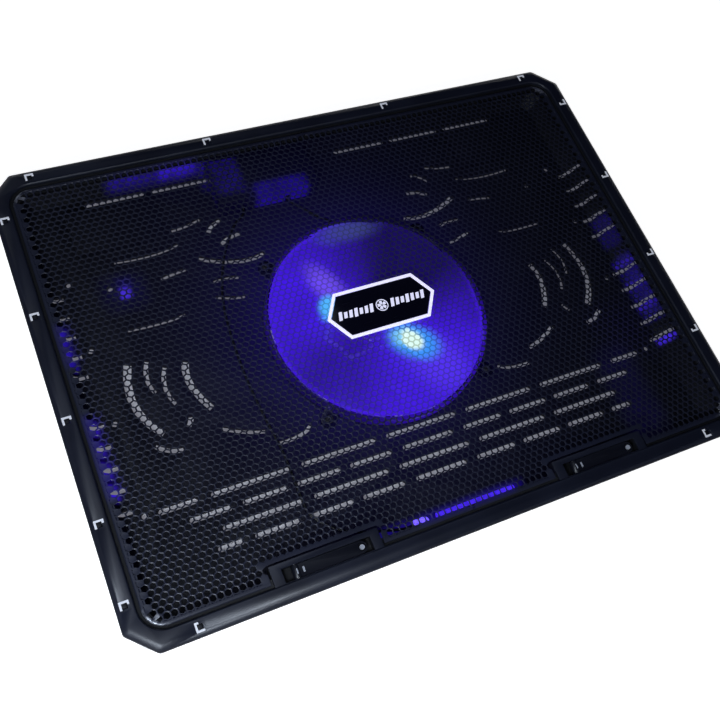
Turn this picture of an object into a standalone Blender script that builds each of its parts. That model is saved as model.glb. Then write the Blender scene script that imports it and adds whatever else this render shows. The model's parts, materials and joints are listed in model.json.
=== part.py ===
"""Laptop cooling pad: a perforated panel in a plastic frame over a slotted tray with one big fan.

Run with: blender --background --python part.py
The pad stands on its feet at Z 0. X runs to the right, Y to the rear edge, where the sockets are.
Every length is in millimetres until mesh_object() turns it into metres.
"""

import math

import bmesh
import bpy
from mathutils import Matrix, Vector

MM = 0.001
GAP = 0.3  # between pieces that touch on the real pad

# Overall
PAD_LENGTH = 360.0
PAD_DEPTH = 265.0
PAD_HEIGHT = 25.0
CORNER_CUT = 13.0  # how far the cut corners run along each side
CORNER_SOFTENING = 2.5

# Top frame
FRAME_THICKNESS = 5.0
FRAME_WIDTH = 8.8
FRAME_EDGE_SLOPE = 1.4  # drop from the ridge to the outer edge
RIDGE_INSET = 3.6
OPENING_RADIUS = 12.0
LEDGE_WIDTH = 4.7
LEDGE_DROP = 2.6  # from the rim down to the ledge that carries the panel
SNAP_WINDOW = 2.6
SNAP_SEAT = 5.0  # the shallow square recess round a window
SNAP_SEAT_DEPTH = 0.35
SNAP_INSET = 4.5  # from the outer edge to the middle of a window
SNAP_SIDE_PLACES = (45.0, -14.0, -68.0)  # the three in the middle of each side
SNAP_SIDE_ENDS = (28.5, 25.0)  # from the rear and the front edge to the outer two
SNAP_REAR_PLACE = 57.0
SNAP_REAR_END = 23.0  # from the side edge
SNAP_FRONT_END = 33.0

# Perforated panel and its nameplate
PANEL_GAP = 1.8
PANEL_THICKNESS = 0.8
NAMEPLATE_LENGTH = 65.4
NAMEPLATE_WIDTH = 28.4
NAMEPLATE_FLAT = 48.0
NAMEPLATE_BORDER = 1.7
NAMEPLATE_THICKNESS = 1.1

# Base tray
FOOT_HEIGHT = 3.3
FOOT_RADIUS = 6.5
FOOT_INSET_X = 26.0
FOOT_INSET_Y = 27.5
FLOOR_THICKNESS = 2.0
FLOOR_INSET_X = 16.5  # the walls lean in by this much from rim to floor
FLOOR_INSET_Y = 12.5
TRAY_WALL = 2.0
RIM_INSET = 2.2
RIM_WIDTH = 4.4
RIM_DEPTH = 1.7

# Fan
BLADE_TIP_RADIUS = 61.3
BLADE_CLEARANCE = 0.9
BLADE_COUNT = 9
BLADE_CHORD = math.radians(46.0)
BLADE_SWEEP = math.radians(22.0)
BLADE_THICKNESS = 1.0
BLADE_RISE = 4.0
RING_WALL = 1.4
RING_HEIGHT = 9.1
FAN_PLATE = 1.6
STRUT_WIDTH = 6.0
EAR_RADIUS = 4.5
HUB_RADIUS = 19.8
HUB_WALL = 1.4
HUB_HEIGHT = 7.0
SHAFT_RADIUS = 1.45
LED_ANGLES = (("fan_led_front", 302.0), ("fan_led_left", 158.0))

# Floor slots
SLOT_WIDTH = 3.2
ROW_PITCH = 9.1
REAR_SLOT_LENGTH = 34.4
REAR_SLOT_PITCH = 38.4
REAR_SLOT_INSET = 4.0
SIDE_SLOT_WIDTH = 2.6
SIDE_SLOT_PITCH = 11.8
SIDE_SLOT_FOOT = 5.0
SIDE_SLOT_GROUP = 38.0

# Flip-up stops
STOP_PIVOTS = (("left_stop", -96.5), ("right_stop", 63.5))
STOP_LENGTH = 36.5
STOP_WIDTH = 6.4
STOP_THICKNESS = 3.7
STOP_BARREL = 2.3
STOP_PIN_RADIUS = 0.9
STOP_BLOCK_DEPTH = 7.5
STOP_BLOCK_TOP_DROP = 0.7

# Fold-out legs
LEG_LENGTH = 21.6
LEG_WIDTH = 45.2
LEG_BARREL = 2.2
LEG_PIN_RADIUS = 1.1
LEG_INSET_X = 60.0
LEG_INSET_Y = 26.0
LEG_PAD = 1.9
POCKET_WALL = 1.6

# Sockets, switch and their board
BOARD_LEFT = -59.0
BOARD_RIGHT = -3.0
BOARD_DEPTH = 25.0
BOARD_THICKNESS = 1.2
BOARD_LIFT = 2.4
SOCKET_PLACES = (("left_usb", -30.5), ("right_usb", -11.5))
SOCKET_WIDTH = 13.2
SOCKET_HEIGHT = 5.8
SOCKET_DEPTH = 14.2
SOCKET_SHEET = 0.5
COVER_WALL = 1.4
BEZEL_DEPTH = 5.0
SWITCH_PLACE = -51.0
SWITCH_TRAVEL = 4.0
KNOB_WIDTH = 3.2
CONNECTOR_SIZE = (6.0, 5.0, 3.4)

# Leads and the front light
LEAD_DIAMETER = 1.6
LIGHT_BAR_LEFT = -14.5
LIGHT_BAR_RIGHT = 32.0
LIGHT_BAR_RADIUS = 2.0
FRONT_LED_RADIUS = 2.5
FRONT_LED_LEFT = -28.0
FRONT_LED_LENGTH = 8.5
LIGHT_INSET = 3.5  # from the front edge of the floor

# Worked out from the above
HALF_X = PAD_LENGTH / 2
HALF_Y = PAD_DEPTH / 2
FLOOR_UNDER = FOOT_HEIGHT + GAP
FLOOR_TOP = FLOOR_UNDER + FLOOR_THICKNESS
FLOOR_X = HALF_X - FLOOR_INSET_X
FLOOR_Y = HALF_Y - FLOOR_INSET_Y
FRAME_UNDER = PAD_HEIGHT - FRAME_THICKNESS
RIM_TOP = FRAME_UNDER - GAP
LEDGE_TOP = PAD_HEIGHT - LEDGE_DROP
PANEL_UNDER = LEDGE_TOP + GAP
PANEL_TOP = PANEL_UNDER + PANEL_THICKNESS
OPENING_X = HALF_X - FRAME_WIDTH
OPENING_Y = HALF_Y - FRAME_WIDTH
FAN_FLOOR = FLOOR_TOP + GAP
FAN_PLATE_TOP = FAN_FLOOR + FAN_PLATE
RING_INNER = BLADE_TIP_RADIUS + BLADE_CLEARANCE
RING_OUTER = RING_INNER + RING_WALL
EAR_PLACE = RING_OUTER + EAR_RADIUS + 0.4
LEAD_LEVEL = FAN_PLATE_TOP + GAP + LEAD_DIAMETER / 2
HUB_UNDER = LEAD_LEVEL + LEAD_DIAMETER / 2 + 0.6
HUB_TOP = HUB_UNDER + HUB_HEIGHT
HUB_CEILING = HUB_TOP - FAN_PLATE
FIRST_ROW = -(RING_OUTER + 1.3 + SLOT_WIDTH / 2)
STOP_MIDDLE = -(OPENING_Y - GAP - 0.35 - STOP_WIDTH / 2)
STOP_BLOCK_TOP = PAD_HEIGHT - STOP_BLOCK_TOP_DROP
STOP_AXIS_Z = STOP_BLOCK_TOP - 0.05 - STOP_BARREL + 0.25
LEG_AXIS_Y = HALF_Y - LEG_INSET_Y
LEG_AXIS_Z = FLOOR_UNDER + LEG_BARREL + 0.2
BOARD_REAR = FLOOR_Y
BOARD_UNDER = FLOOR_TOP + BOARD_LIFT
BOARD_TOP = BOARD_UNDER + BOARD_THICKNESS
BEZEL_FACE = FLOOR_Y + 0.5 + BEZEL_DEPTH
SOCKET_UNDER = BOARD_TOP + GAP
SOCKET_TOP = SOCKET_UNDER + SOCKET_HEIGHT
CONNECTOR_FRONT = BOARD_REAR - BOARD_DEPTH + 3.3
BOARD_LEAD_LEVEL = BOARD_TOP + GAP + LEAD_DIAMETER / 2
FAN_LEAD_X = -19.0
LIGHT_LEAD_X = -47.0
LIGHT_Y = -(FLOOR_Y - LIGHT_INSET)
LIGHT_Z = FLOOR_TOP + GAP + FRONT_LED_RADIUS

# Vent strokes in the floor: start, middle, end and width, each made on both sides.
# The first group is placed inward from the side edge of the floor, the second from the fan's centre.
SIDE_STROKES = (
    ((54.5, 8.0), (53.0, -6.0), (59.5, -22.0), 4.0),
    ((43.5, 8.0), (40.0, -3.0), (42.5, -14.0), 2.4),
    ((35.5, 14.0), (32.5, 4.0), (34.5, -5.0), 2.4),
    ((25.5, 15.0), (22.0, -8.0), (31.5, -28.0), 4.2),
    ((47.5, -23.0), (46.5, -25.5), (44.5, -28.0), 2.6),
    ((38.5, -39.0), (32.0, -37.5), (25.5, -33.0), 2.8),
)
CENTRE_STROKES = (
    ((103.0, -34.5), (92.0, -40.0), (82.0, -43.0), 2.4),
    ((78.0, -51.5), (66.0, -51.0), (58.0, -47.5), 2.4),
    ((45.0, 59.5), (62.0, 58.5), (82.0, 66.0), 3.2),
    ((91.0, 61.5), (99.0, 60.5), (106.0, 59.0), 2.4),
    ((64.5, 48.5), (71.0, 49.8), (79.0, 49.5), 2.4),
    ((65.0, 36.0), (72.0, 37.0), (81.0, 40.0), 2.2),
    ((100.0, 34.8), (112.0, 33.2), (132.0, 33.8), 2.0),
    ((54.0, 76.0), (60.0, 75.0), (67.0, 72.0), 3.2),
    ((90.0, 78.0), (106.0, 75.2), (127.0, 76.0), 2.0),
    ((62.0, 87.5), (67.5, 85.0), (71.5, 81.0), 2.8),
    ((73.0, 91.0), (82.0, 88.6), (91.0, 87.6), 2.4),
)
SIDE_DOTS = ((10.0, 69.0), (10.0, 28.0), (10.0, -15.0), (10.0, -66.0), (29.5, 61.0))
DOT_RADIUS = 1.8


# ---------------------------------------------------------------- materials


def finish(name, colour, roughness, metallic=0.0, glow=0.0, alpha=1.0):
    """A Principled material; glow is an emission strength in the base colour."""
    material = bpy.data.materials.new(name)
    material.use_nodes = True
    shader = material.node_tree.nodes["Principled BSDF"]
    shader.inputs["Base Color"].default_value = (*colour, 1.0)
    shader.inputs["Roughness"].default_value = roughness
    shader.inputs["Metallic"].default_value = metallic
    shader.inputs["Emission Color"].default_value = (*colour, 1.0)
    shader.inputs["Emission Strength"].default_value = glow
    shader.inputs["Alpha"].default_value = alpha
    return material


# ---------------------------------------------------------------- shapes


def mesh_object(name, shape, material, pivot=(0.0, 0.0, 0.0), smooth=False):
    """Turns a bmesh in millimetres into a node whose origin is at pivot."""
    bmesh.ops.remove_doubles(shape, verts=shape.verts, dist=1e-5)
    bmesh.ops.recalc_face_normals(shape, faces=shape.faces)
    shape.transform(Matrix.Scale(MM, 4) @ Matrix.Translation(-Vector(pivot)))
    mesh = bpy.data.meshes.new(name)
    shape.to_mesh(mesh)
    shape.free()
    node = bpy.data.objects.new(name, mesh)
    node.location = Vector(pivot) * MM
    bpy.context.scene.collection.objects.link(node)
    if material:
        mesh.materials.append(material)
    if smooth:
        mesh.shade_smooth()
        mesh.set_sharp_from_angle(angle=math.radians(35))
    return node


def combined(node, shape, operation):
    """Cuts a closed shape out of a node, or joins it on, and keeps the result as the node's mesh."""
    tool = mesh_object("tool", shape, None)
    tool.hide_render = True
    tool.display_type = "WIRE"
    modifier = node.modifiers.new(operation, "BOOLEAN")
    modifier.operation = operation
    modifier.object = tool
    bpy.context.view_layer.update()
    graph = bpy.context.evaluated_depsgraph_get()
    result = bpy.data.meshes.new_from_object(node.evaluated_get(graph))
    node.modifiers.clear()
    spent = [node.data, tool.data]
    node.data = result
    bpy.data.objects.remove(tool)
    for mesh in spent:
        bpy.data.meshes.remove(mesh)
    result.name = node.name
    return node


def cut(node, shape):
    return combined(node, shape, "DIFFERENCE")


def joined(node, shape):
    return combined(node, shape, "UNION")


def lofted(rings, closed=False, shape=None):
    """A skin through rings of equally many points: capped at both ends, or closed round on itself."""
    shape = shape or bmesh.new()
    rows = [[shape.verts.new(point) for point in ring] for ring in rings]
    pairs = list(zip(rows, rows[1:]))
    if closed:
        pairs.append((rows[-1], rows[0]))
    else:
        shape.faces.new(rows[0])
        shape.faces.new(rows[-1])
    for lower, upper in pairs:
        for i in range(len(lower)):
            j = (i + 1) % len(lower)
            shape.faces.new((lower[i], lower[j], upper[j], upper[i]))
    return shape


def prism(outline, low, high, shape=None):
    """An upright prism on a flat outline of (x, y) points."""
    return lofted([[(x, y, z) for x, y in outline] for z in (low, high)], shape=shape)


def box(x, y, z, shape=None):
    """A box from three (low, high) pairs."""
    outline = [(x[0], y[0]), (x[1], y[0]), (x[1], y[1]), (x[0], y[1])]
    return prism(outline, z[0], z[1], shape)


def circle(radius, sides, centre=(0.0, 0.0), start=0.0):
    turn = 2 * math.pi / sides
    return [
        (centre[0] + radius * math.cos(start + i * turn), centre[1] + radius * math.sin(start + i * turn))
        for i in range(sides)
    ]


def rod(axis, low, high, radius, centre, sides=12, shape=None):
    """A rod along X or Y, centred on the other two coordinates."""
    ends = []
    for along in (low, high):
        ring = circle(radius, sides, centre)
        ends.append([(along, a, b) if axis == "X" else (a, along, b) for a, b in ring])
    return lofted(ends, shape=shape)


def turned(profile, sides, centre=(0.0, 0.0), shape=None):
    """A closed profile of (radius, height) points, none on the axis, turned round a vertical axis."""
    rings = [[(x, y, height) for x, y in circle(radius, sides, centre)] for radius, height in profile]
    return lofted(rings, closed=True, shape=shape)


def tube(inner, outer, low, high, sides, shape=None):
    return turned([(inner, low), (outer, low), (outer, high), (inner, high)], sides, shape=shape)


def four_corners(corner):
    """Repeats the points of the +X +Y corner round all four corners."""
    back = corner[::-1]
    return (
        list(corner)
        + [(-x, y) for x, y in back]
        + [(-x, -y) for x, y in corner]
        + [(x, -y) for x, y in back]
    )


def cut_outline(inset_x, inset_y):
    """The pad's outline with cut corners, moved inward; seven points to a corner."""
    half_x, half_y = HALF_X - inset_x, HALF_Y - inset_y
    corner_cut = CORNER_CUT - (2 - math.sqrt(2)) * (inset_x + inset_y) / 2
    reach = CORNER_SOFTENING * math.tan(math.radians(22.5))
    slant = reach / math.sqrt(2)
    first, second = (half_x, half_y - corner_cut), (half_x - corner_cut, half_y)
    bulge = [CORNER_SOFTENING * f(math.radians(22.5)) for f in (math.cos, math.sin)]
    corner = [
        (half_x, first[1] - reach),
        (half_x - CORNER_SOFTENING + bulge[0], first[1] - reach + bulge[1]),
        (first[0] - slant, first[1] + slant),
        ((first[0] + second[0]) / 2, (first[1] + second[1]) / 2),
        (second[0] + slant, second[1] - slant),
        (second[0] - reach + bulge[1], half_y - CORNER_SOFTENING + bulge[0]),
        (second[0] - reach, half_y),
    ]
    return four_corners(corner)


def round_outline(half_x, half_y, radius):
    """A rectangle with round corners; seven points to a corner."""
    turns = [math.radians(15 * step) for step in range(7)]
    corner = [
        (half_x - radius + radius * math.cos(turn), half_y - radius + radius * math.sin(turn))
        for turn in turns
    ]
    return four_corners(corner)


def at_height(outline, height):
    return [(x, y, height) for x, y in outline]


def slot_outline(low, high, middle, width):
    """A slot along X with blunted ends."""
    half, blunt = width / 2, width / 3
    right = [(high - blunt, middle - half), (high, middle - half + blunt),
             (high, middle + half - blunt), (high - blunt, middle + half)]
    left = [(low + high - x, 2 * middle - y) for x, y in right]
    return right + left


def stroke_outline(start, middle, end, width, steps=5):
    """A band of even width along the arc-like curve from start past middle to end."""
    start, middle, end = Vector(start), Vector(middle), Vector(end)
    control = 2 * middle - (start + end) / 2
    left, right = [], []
    for step in range(steps + 1):
        t = step / steps
        point = (1 - t) ** 2 * start + 2 * t * (1 - t) * control + t * t * end
        along = ((1 - t) * (control - start) + t * (end - control)).normalized()
        side = Vector((-along.y, along.x)) * width / 2
        left.append(tuple(point + side))
        right.append(tuple(point - side))
    return left + right[::-1]


def polar(radius, degrees):
    turn = math.radians(degrees)
    return radius * math.cos(turn), radius * math.sin(turn)


def sector_outline(inner, outer, middle, spread, steps=2):
    """A piece of a ring, middle and spread in degrees."""
    turns = [middle - spread / 2 + spread * step / steps for step in range(steps + 1)]
    return [polar(outer, turn) for turn in turns] + [polar(inner, turn) for turn in turns[::-1]]


# ---------------------------------------------------------------- top frame, panel, nameplate


def snap_places():
    """Middle of each snap window."""
    side, end = HALF_X - SNAP_INSET, HALF_Y - SNAP_INSET
    rear_end, front_end = SNAP_SIDE_ENDS
    along = (HALF_Y - rear_end, *SNAP_SIDE_PLACES, -(HALF_Y - front_end))
    places = [(sign * side, y) for sign in (-1, 1) for y in along]
    places += [(sign * x, end) for sign in (-1, 1) for x in (SNAP_REAR_PLACE, HALF_X - SNAP_REAR_END)]
    return places + [(sign * (HALF_X - SNAP_FRONT_END), -end) for sign in (-1, 1)]


def square_at(place, size, low, high, shape):
    half = size / 2
    return box((place[0] - half, place[0] + half), (place[1] - half, place[1] + half), (low, high), shape)


def stop_block(pivot):
    """Low and high X of the block that holds a stop."""
    return pivot - 12.5, pivot + STOP_LENGTH + 8.0


def top_frame(material):
    """The ring with its sloped edge, the ledge for the panel and the two stop blocks."""
    outer_top = PAD_HEIGHT - FRAME_EDGE_SLOPE
    opening = round_outline(OPENING_X, OPENING_Y, OPENING_RADIUS)
    lip = round_outline(OPENING_X + 0.6, OPENING_Y + 0.6, OPENING_RADIUS + 0.6)
    ledge = round_outline(OPENING_X - LEDGE_WIDTH, OPENING_Y - LEDGE_WIDTH, OPENING_RADIUS - LEDGE_WIDTH)
    rings = [
        at_height(cut_outline(1.2, 1.2), FRAME_UNDER),
        at_height(cut_outline(0, 0), FRAME_UNDER + 1.3),
        at_height(cut_outline(0, 0), outer_top),
        at_height(cut_outline(2.4, 2.4), PAD_HEIGHT - 0.25),
        at_height(cut_outline(RIDGE_INSET, RIDGE_INSET), PAD_HEIGHT),
        at_height(lip, PAD_HEIGHT),
        at_height(opening, PAD_HEIGHT - 0.6),
        at_height(opening, LEDGE_TOP),
        at_height(ledge, LEDGE_TOP),
        at_height(ledge, FRAME_UNDER),
    ]
    frame = mesh_object("top_frame", lofted(rings, closed=True), material)

    blocks, recesses, bores, seats = bmesh.new(), bmesh.new(), bmesh.new(), bmesh.new()
    half = STOP_WIDTH / 2 + 0.35
    block_rear = STOP_MIDDLE + half + 2.8
    for _, pivot in STOP_PIVOTS:
        across = (-(OPENING_Y + 0.3), block_rear)
        box(stop_block(pivot), across, (STOP_BLOCK_TOP - STOP_BLOCK_DEPTH, STOP_BLOCK_TOP), blocks)
        along = (pivot - 7.0, pivot + STOP_LENGTH + 3.0)
        depth = STOP_AXIS_Z - STOP_BARREL - 0.4
        box(along, (STOP_MIDDLE - half, STOP_MIDDLE + half), (depth, PAD_HEIGHT + 1), recesses)
        rod("Y", STOP_MIDDLE - half - 3.1, block_rear + 1, STOP_PIN_RADIUS + GAP, (pivot, STOP_AXIS_Z), shape=bores)
    for place in snap_places():
        square_at(place, SNAP_WINDOW, FRAME_UNDER - 1, PAD_HEIGHT + 1, recesses)
        square_at(place, SNAP_SEAT, PAD_HEIGHT - SNAP_SEAT_DEPTH, PAD_HEIGHT + 1, seats)
    joined(frame, blocks)
    for cutter in (recesses, bores, seats):
        cut(frame, cutter)
    return frame


def mesh_panel(material):
    """The sheet that the laptop stands on, notched round the stop blocks."""
    outline = round_outline(OPENING_X - PANEL_GAP, OPENING_Y - PANEL_GAP, OPENING_RADIUS - PANEL_GAP)
    panel = mesh_object("mesh_panel", prism(outline, PANEL_UNDER, PANEL_TOP), material)
    notches = bmesh.new()
    rear = STOP_MIDDLE + STOP_WIDTH / 2 + 0.35 + 2.8 + 1.2
    for _, pivot in STOP_PIVOTS:
        low, high = stop_block(pivot)
        box((low - 1.2, high + 1.2), (-HALF_Y, rear), (PANEL_UNDER - 1, PANEL_TOP + 1), notches)
    return cut(panel, notches)


def hexagon(inset):
    """The nameplate's outline, long along X and pointed at both ends, moved inward."""
    tip_slope = math.atan2(NAMEPLATE_WIDTH / 2, (NAMEPLATE_LENGTH - NAMEPLATE_FLAT) / 2)
    tip = NAMEPLATE_LENGTH / 2 - inset / math.sin(tip_slope)
    half = NAMEPLATE_WIDTH / 2 - inset
    shoulder = tip - half / math.tan(tip_slope)
    return [(tip, 0), (shoulder, half), (-shoulder, half), (-tip, 0), (-shoulder, -half), (shoulder, -half)]


def nameplate(rim_material, face_material):
    """A bright rim round a dark face, stuck to the middle of the panel."""
    low = PANEL_TOP + GAP
    high = low + NAMEPLATE_THICKNESS
    inner = hexagon(NAMEPLATE_BORDER)
    rings = [at_height(hexagon(0), low), at_height(hexagon(0), high - 0.2), at_height(hexagon(0.3), high),
             at_height(inner, high), at_height(inner, low)]
    mesh_object("nameplate_rim", lofted(rings, closed=True), rim_material)
    face = prism(hexagon(NAMEPLATE_BORDER + GAP), low, high - 0.3)
    mesh_object("nameplate_face", face, face_material)


# ---------------------------------------------------------------- base tray


def floor_rows():
    """The straight slots: four rows before the fan and one along the rear edge."""
    shape = bmesh.new()
    low, high = FLOOR_UNDER - 1, FLOOR_TOP + 1
    for row in range(4):
        y = FIRST_ROW - row * ROW_PITCH
        long_row = row % 2 == 0
        middle_half = 21.5 if long_row else 15.5
        spans = [(-middle_half, middle_half)]
        side_slots = [(27.7, 70.7), (76.9, 119.9)] if long_row else [(22.0, 46.6), (51.8, 76.4), (81.6, 106.2)]
        end_slot = {0: (126.8, 147.0), 1: (112.0, 134.0), 3: (112.0, 125.5)}
        side_slots += [end_slot[row]] if row in end_slot else []
        for near, far in side_slots:
            spans += [(near, far), (-far, -near)]
        for span in spans:
            prism(slot_outline(*span, y, SLOT_WIDTH), low, high, shape)
    for step in range(-3, 4):
        middle = step * REAR_SLOT_PITCH
        span = (middle - REAR_SLOT_LENGTH / 2, middle + REAR_SLOT_LENGTH / 2)
        if span[0] > BOARD_RIGHT or span[1] < BOARD_LEFT:
            prism(slot_outline(*span, FLOOR_Y - REAR_SLOT_INSET, SLOT_WIDTH), low, high, shape)
    return shape


def centre_strokes():
    """The curved slots that are placed from the middle of the fan."""
    shape = bmesh.new()
    for sign in (-1, 1):
        for *points, width in CENTRE_STROKES:
            mirrored = [(sign * x, y) for x, y in points]
            prism(stroke_outline(*mirrored, width), FLOOR_UNDER - 1, FLOOR_TOP + 1, shape)
    return shape


def side_strokes():
    """The curved slots and round holes that are placed from the side edges of the floor."""
    shape = bmesh.new()
    low, high = FLOOR_UNDER - 1, FLOOR_TOP + 1
    for sign in (-1, 1):
        for *points, width in SIDE_STROKES:
            moved = [(sign * (FLOOR_X - x), y) for x, y in points]
            prism(stroke_outline(*moved, width), low, high, shape)
        for x, y in SIDE_DOTS:
            prism(circle(DOT_RADIUS, 8, (sign * (FLOOR_X - x), y)), low, high, shape)
    return shape


def fan_inlet():
    """Two rings of openings under the fan and the holes for its screws."""
    shape = bmesh.new()
    low, high = FLOOR_UNDER - 1, FLOOR_TOP + 1
    openings = 24
    edge = RING_INNER - 1.9
    middle = (HUB_RADIUS + 4.2 + edge) / 2
    for ring, (inner, outer) in enumerate(((HUB_RADIUS + 4.2, middle - 1.2), (middle + 1.2, edge))):
        for step in range(openings):
            turn = (step + 0.5 * ring) * 360 / openings
            prism(sector_outline(inner, outer, turn, 9.6), low, high, shape)
    for turn in (45, 135, 225, 315):
        prism(circle(1.4, 10, polar(EAR_PLACE, turn)), low, high, shape)
    return shape


def side_slots():
    """Slots that run up the leaning side walls from the edge of the floor."""
    shape = bmesh.new()
    for sign in (-1, 1):
        for group in (-SIDE_SLOT_GROUP, SIDE_SLOT_GROUP):
            for step in range(-2, 3):
                y = group + step * SIDE_SLOT_PITCH
                across = sorted((sign * (FLOOR_X - SIDE_SLOT_FOOT), sign * (HALF_X + 2)))
                along = (y - SIDE_SLOT_WIDTH / 2, y + SIDE_SLOT_WIDTH / 2)
                box(across, along, (FLOOR_UNDER - 1, RIM_TOP - 2.7), shape)
    return shape


def leg_pocket(sign):
    """Low and high X and Y of the space for one leg."""
    middle = sign * (HALF_X - LEG_INSET_X)
    half = LEG_WIDTH / 2 + 0.4
    return (middle - half, middle + half), (LEG_AXIS_Y - LEG_LENGTH - 0.4, LEG_AXIS_Y + LEG_BARREL + 0.4)


def tray_additions():
    """Leg pockets, socket bezel, snap hooks, board posts and light cradles, all sunk into the shell."""
    shape = bmesh.new()
    for sign in (-1, 1):
        across, along = leg_pocket(sign)
        wall = POCKET_WALL
        box((across[0] - wall, across[1] + wall), (along[0] - wall, along[1] + wall),
            (FLOOR_UNDER + 0.4, LEG_AXIS_Z + LEG_BARREL + 0.4 + wall), shape)
    box((BOARD_LEFT - 2.5, BOARD_RIGHT + 2.5), (BEZEL_FACE - BEZEL_DEPTH, BEZEL_FACE),
        (FLOOR_UNDER + 0.6, SOCKET_TOP + 1.6), shape)
    for place in snap_places():
        square_at(place, SNAP_WINDOW - 2 * GAP - 0.1, RIM_TOP - 0.8, PAD_HEIGHT - 0.7, shape)
    for place in board_screw_places():
        prism(circle(2.5, 10, place), FLOOR_UNDER + 0.5, BOARD_UNDER - GAP, shape)
    for x, _ in light_cradles():
        box((x - 1.5, x + 1.5), (LIGHT_Y - 3.4, LIGHT_Y + 3.4), (FLOOR_UNDER + 0.5, LIGHT_Z), shape)
    return shape


def light_cradles():
    """X place and radius of each clip that holds the front light."""
    return (
        (FRONT_LED_LEFT + 2.6, FRONT_LED_RADIUS),
        (LIGHT_BAR_LEFT + 6.0, LIGHT_BAR_RADIUS),
        (LIGHT_BAR_RIGHT - 6.0, LIGHT_BAR_RADIUS),
    )


def leg_bores():
    """The pin's bore through both side walls of each leg pocket."""
    shape = bmesh.new()
    for sign in (-1, 1):
        low, high = leg_pocket(sign)[0]
        reach = POCKET_WALL + 1
        rod("X", low - reach, high + reach, LEG_PIN_RADIUS + GAP, (LEG_AXIS_Y, LEG_AXIS_Z), shape=shape)
    return shape


def tray_openings():
    """Leg pockets, port windows, screw holes and the hollows of the light cradles."""
    shape = bmesh.new()
    for sign in (-1, 1):
        across, along = leg_pocket(sign)
        box(across, along, (FLOOR_UNDER - 1, LEG_AXIS_Z + LEG_BARREL + 0.4), shape)
    for _, x in SOCKET_PLACES:
        half = SOCKET_WIDTH / 2 + GAP
        box((x - half, x + half), (BEZEL_FACE - BEZEL_DEPTH - 1, BEZEL_FACE + 4),
            (SOCKET_UNDER - GAP, SOCKET_TOP + GAP), shape)
    box(switch_slot(), (BEZEL_FACE - BEZEL_DEPTH - 1, BEZEL_FACE + 4),
        (BOARD_TOP + 1.2, BOARD_TOP + 4.4), shape)
    for place in board_screw_places():
        prism(circle(1.2, 10, place), FLOOR_TOP + 0.4, BOARD_UNDER + 1, shape)
    for x, radius in light_cradles():
        rod("X", x - 2.5, x + 2.5, radius + GAP, (LIGHT_Y, LIGHT_Z), shape=shape)
    return shape


def base_tray(material):
    """The lower shell: leaning walls, a rim that carries the frame and a floor full of slots."""
    outer_lean = RIM_INSET + TRAY_WALL + 0.4
    rim_under = RIM_TOP - RIM_DEPTH
    wall_bottom = TRAY_WALL / 2
    rings = [
        at_height(cut_outline(FLOOR_INSET_X, FLOOR_INSET_Y), FLOOR_TOP),
        at_height(cut_outline(RIM_INSET + RIM_WIDTH, RIM_INSET + RIM_WIDTH), RIM_TOP),
        at_height(cut_outline(RIM_INSET, RIM_INSET), RIM_TOP),
        at_height(cut_outline(RIM_INSET, RIM_INSET), rim_under),
        at_height(cut_outline(outer_lean, outer_lean), rim_under - 0.8),
        at_height(cut_outline(FLOOR_INSET_X + wall_bottom, FLOOR_INSET_Y + wall_bottom), FLOOR_UNDER),
    ]
    tray = mesh_object("base_tray", lofted(rings), material)
    joined(tray, tray_additions())
    cut(tray, tray_openings())
    cut(tray, leg_bores())
    cut(tray, floor_rows())
    cut(tray, centre_strokes())
    cut(tray, side_strokes())
    cut(tray, side_slots())
    return cut(tray, fan_inlet())


def feet(material):
    for side, x in (("left", -1), ("right", 1)):
        for end, y in (("front", -1), ("rear", 1)):
            centre = (x * (HALF_X - FOOT_INSET_X), y * (HALF_Y - FOOT_INSET_Y))
            rings = [
                at_height(circle(radius, 20, centre), height)
                for radius, height in ((FOOT_RADIUS - 0.8, 0), (FOOT_RADIUS, 0.8), (FOOT_RADIUS, FOOT_HEIGHT))
            ]
            mesh_object(f"{end}_{side}_foot", lofted(rings), material, smooth=True)


# ---------------------------------------------------------------- fan


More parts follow.
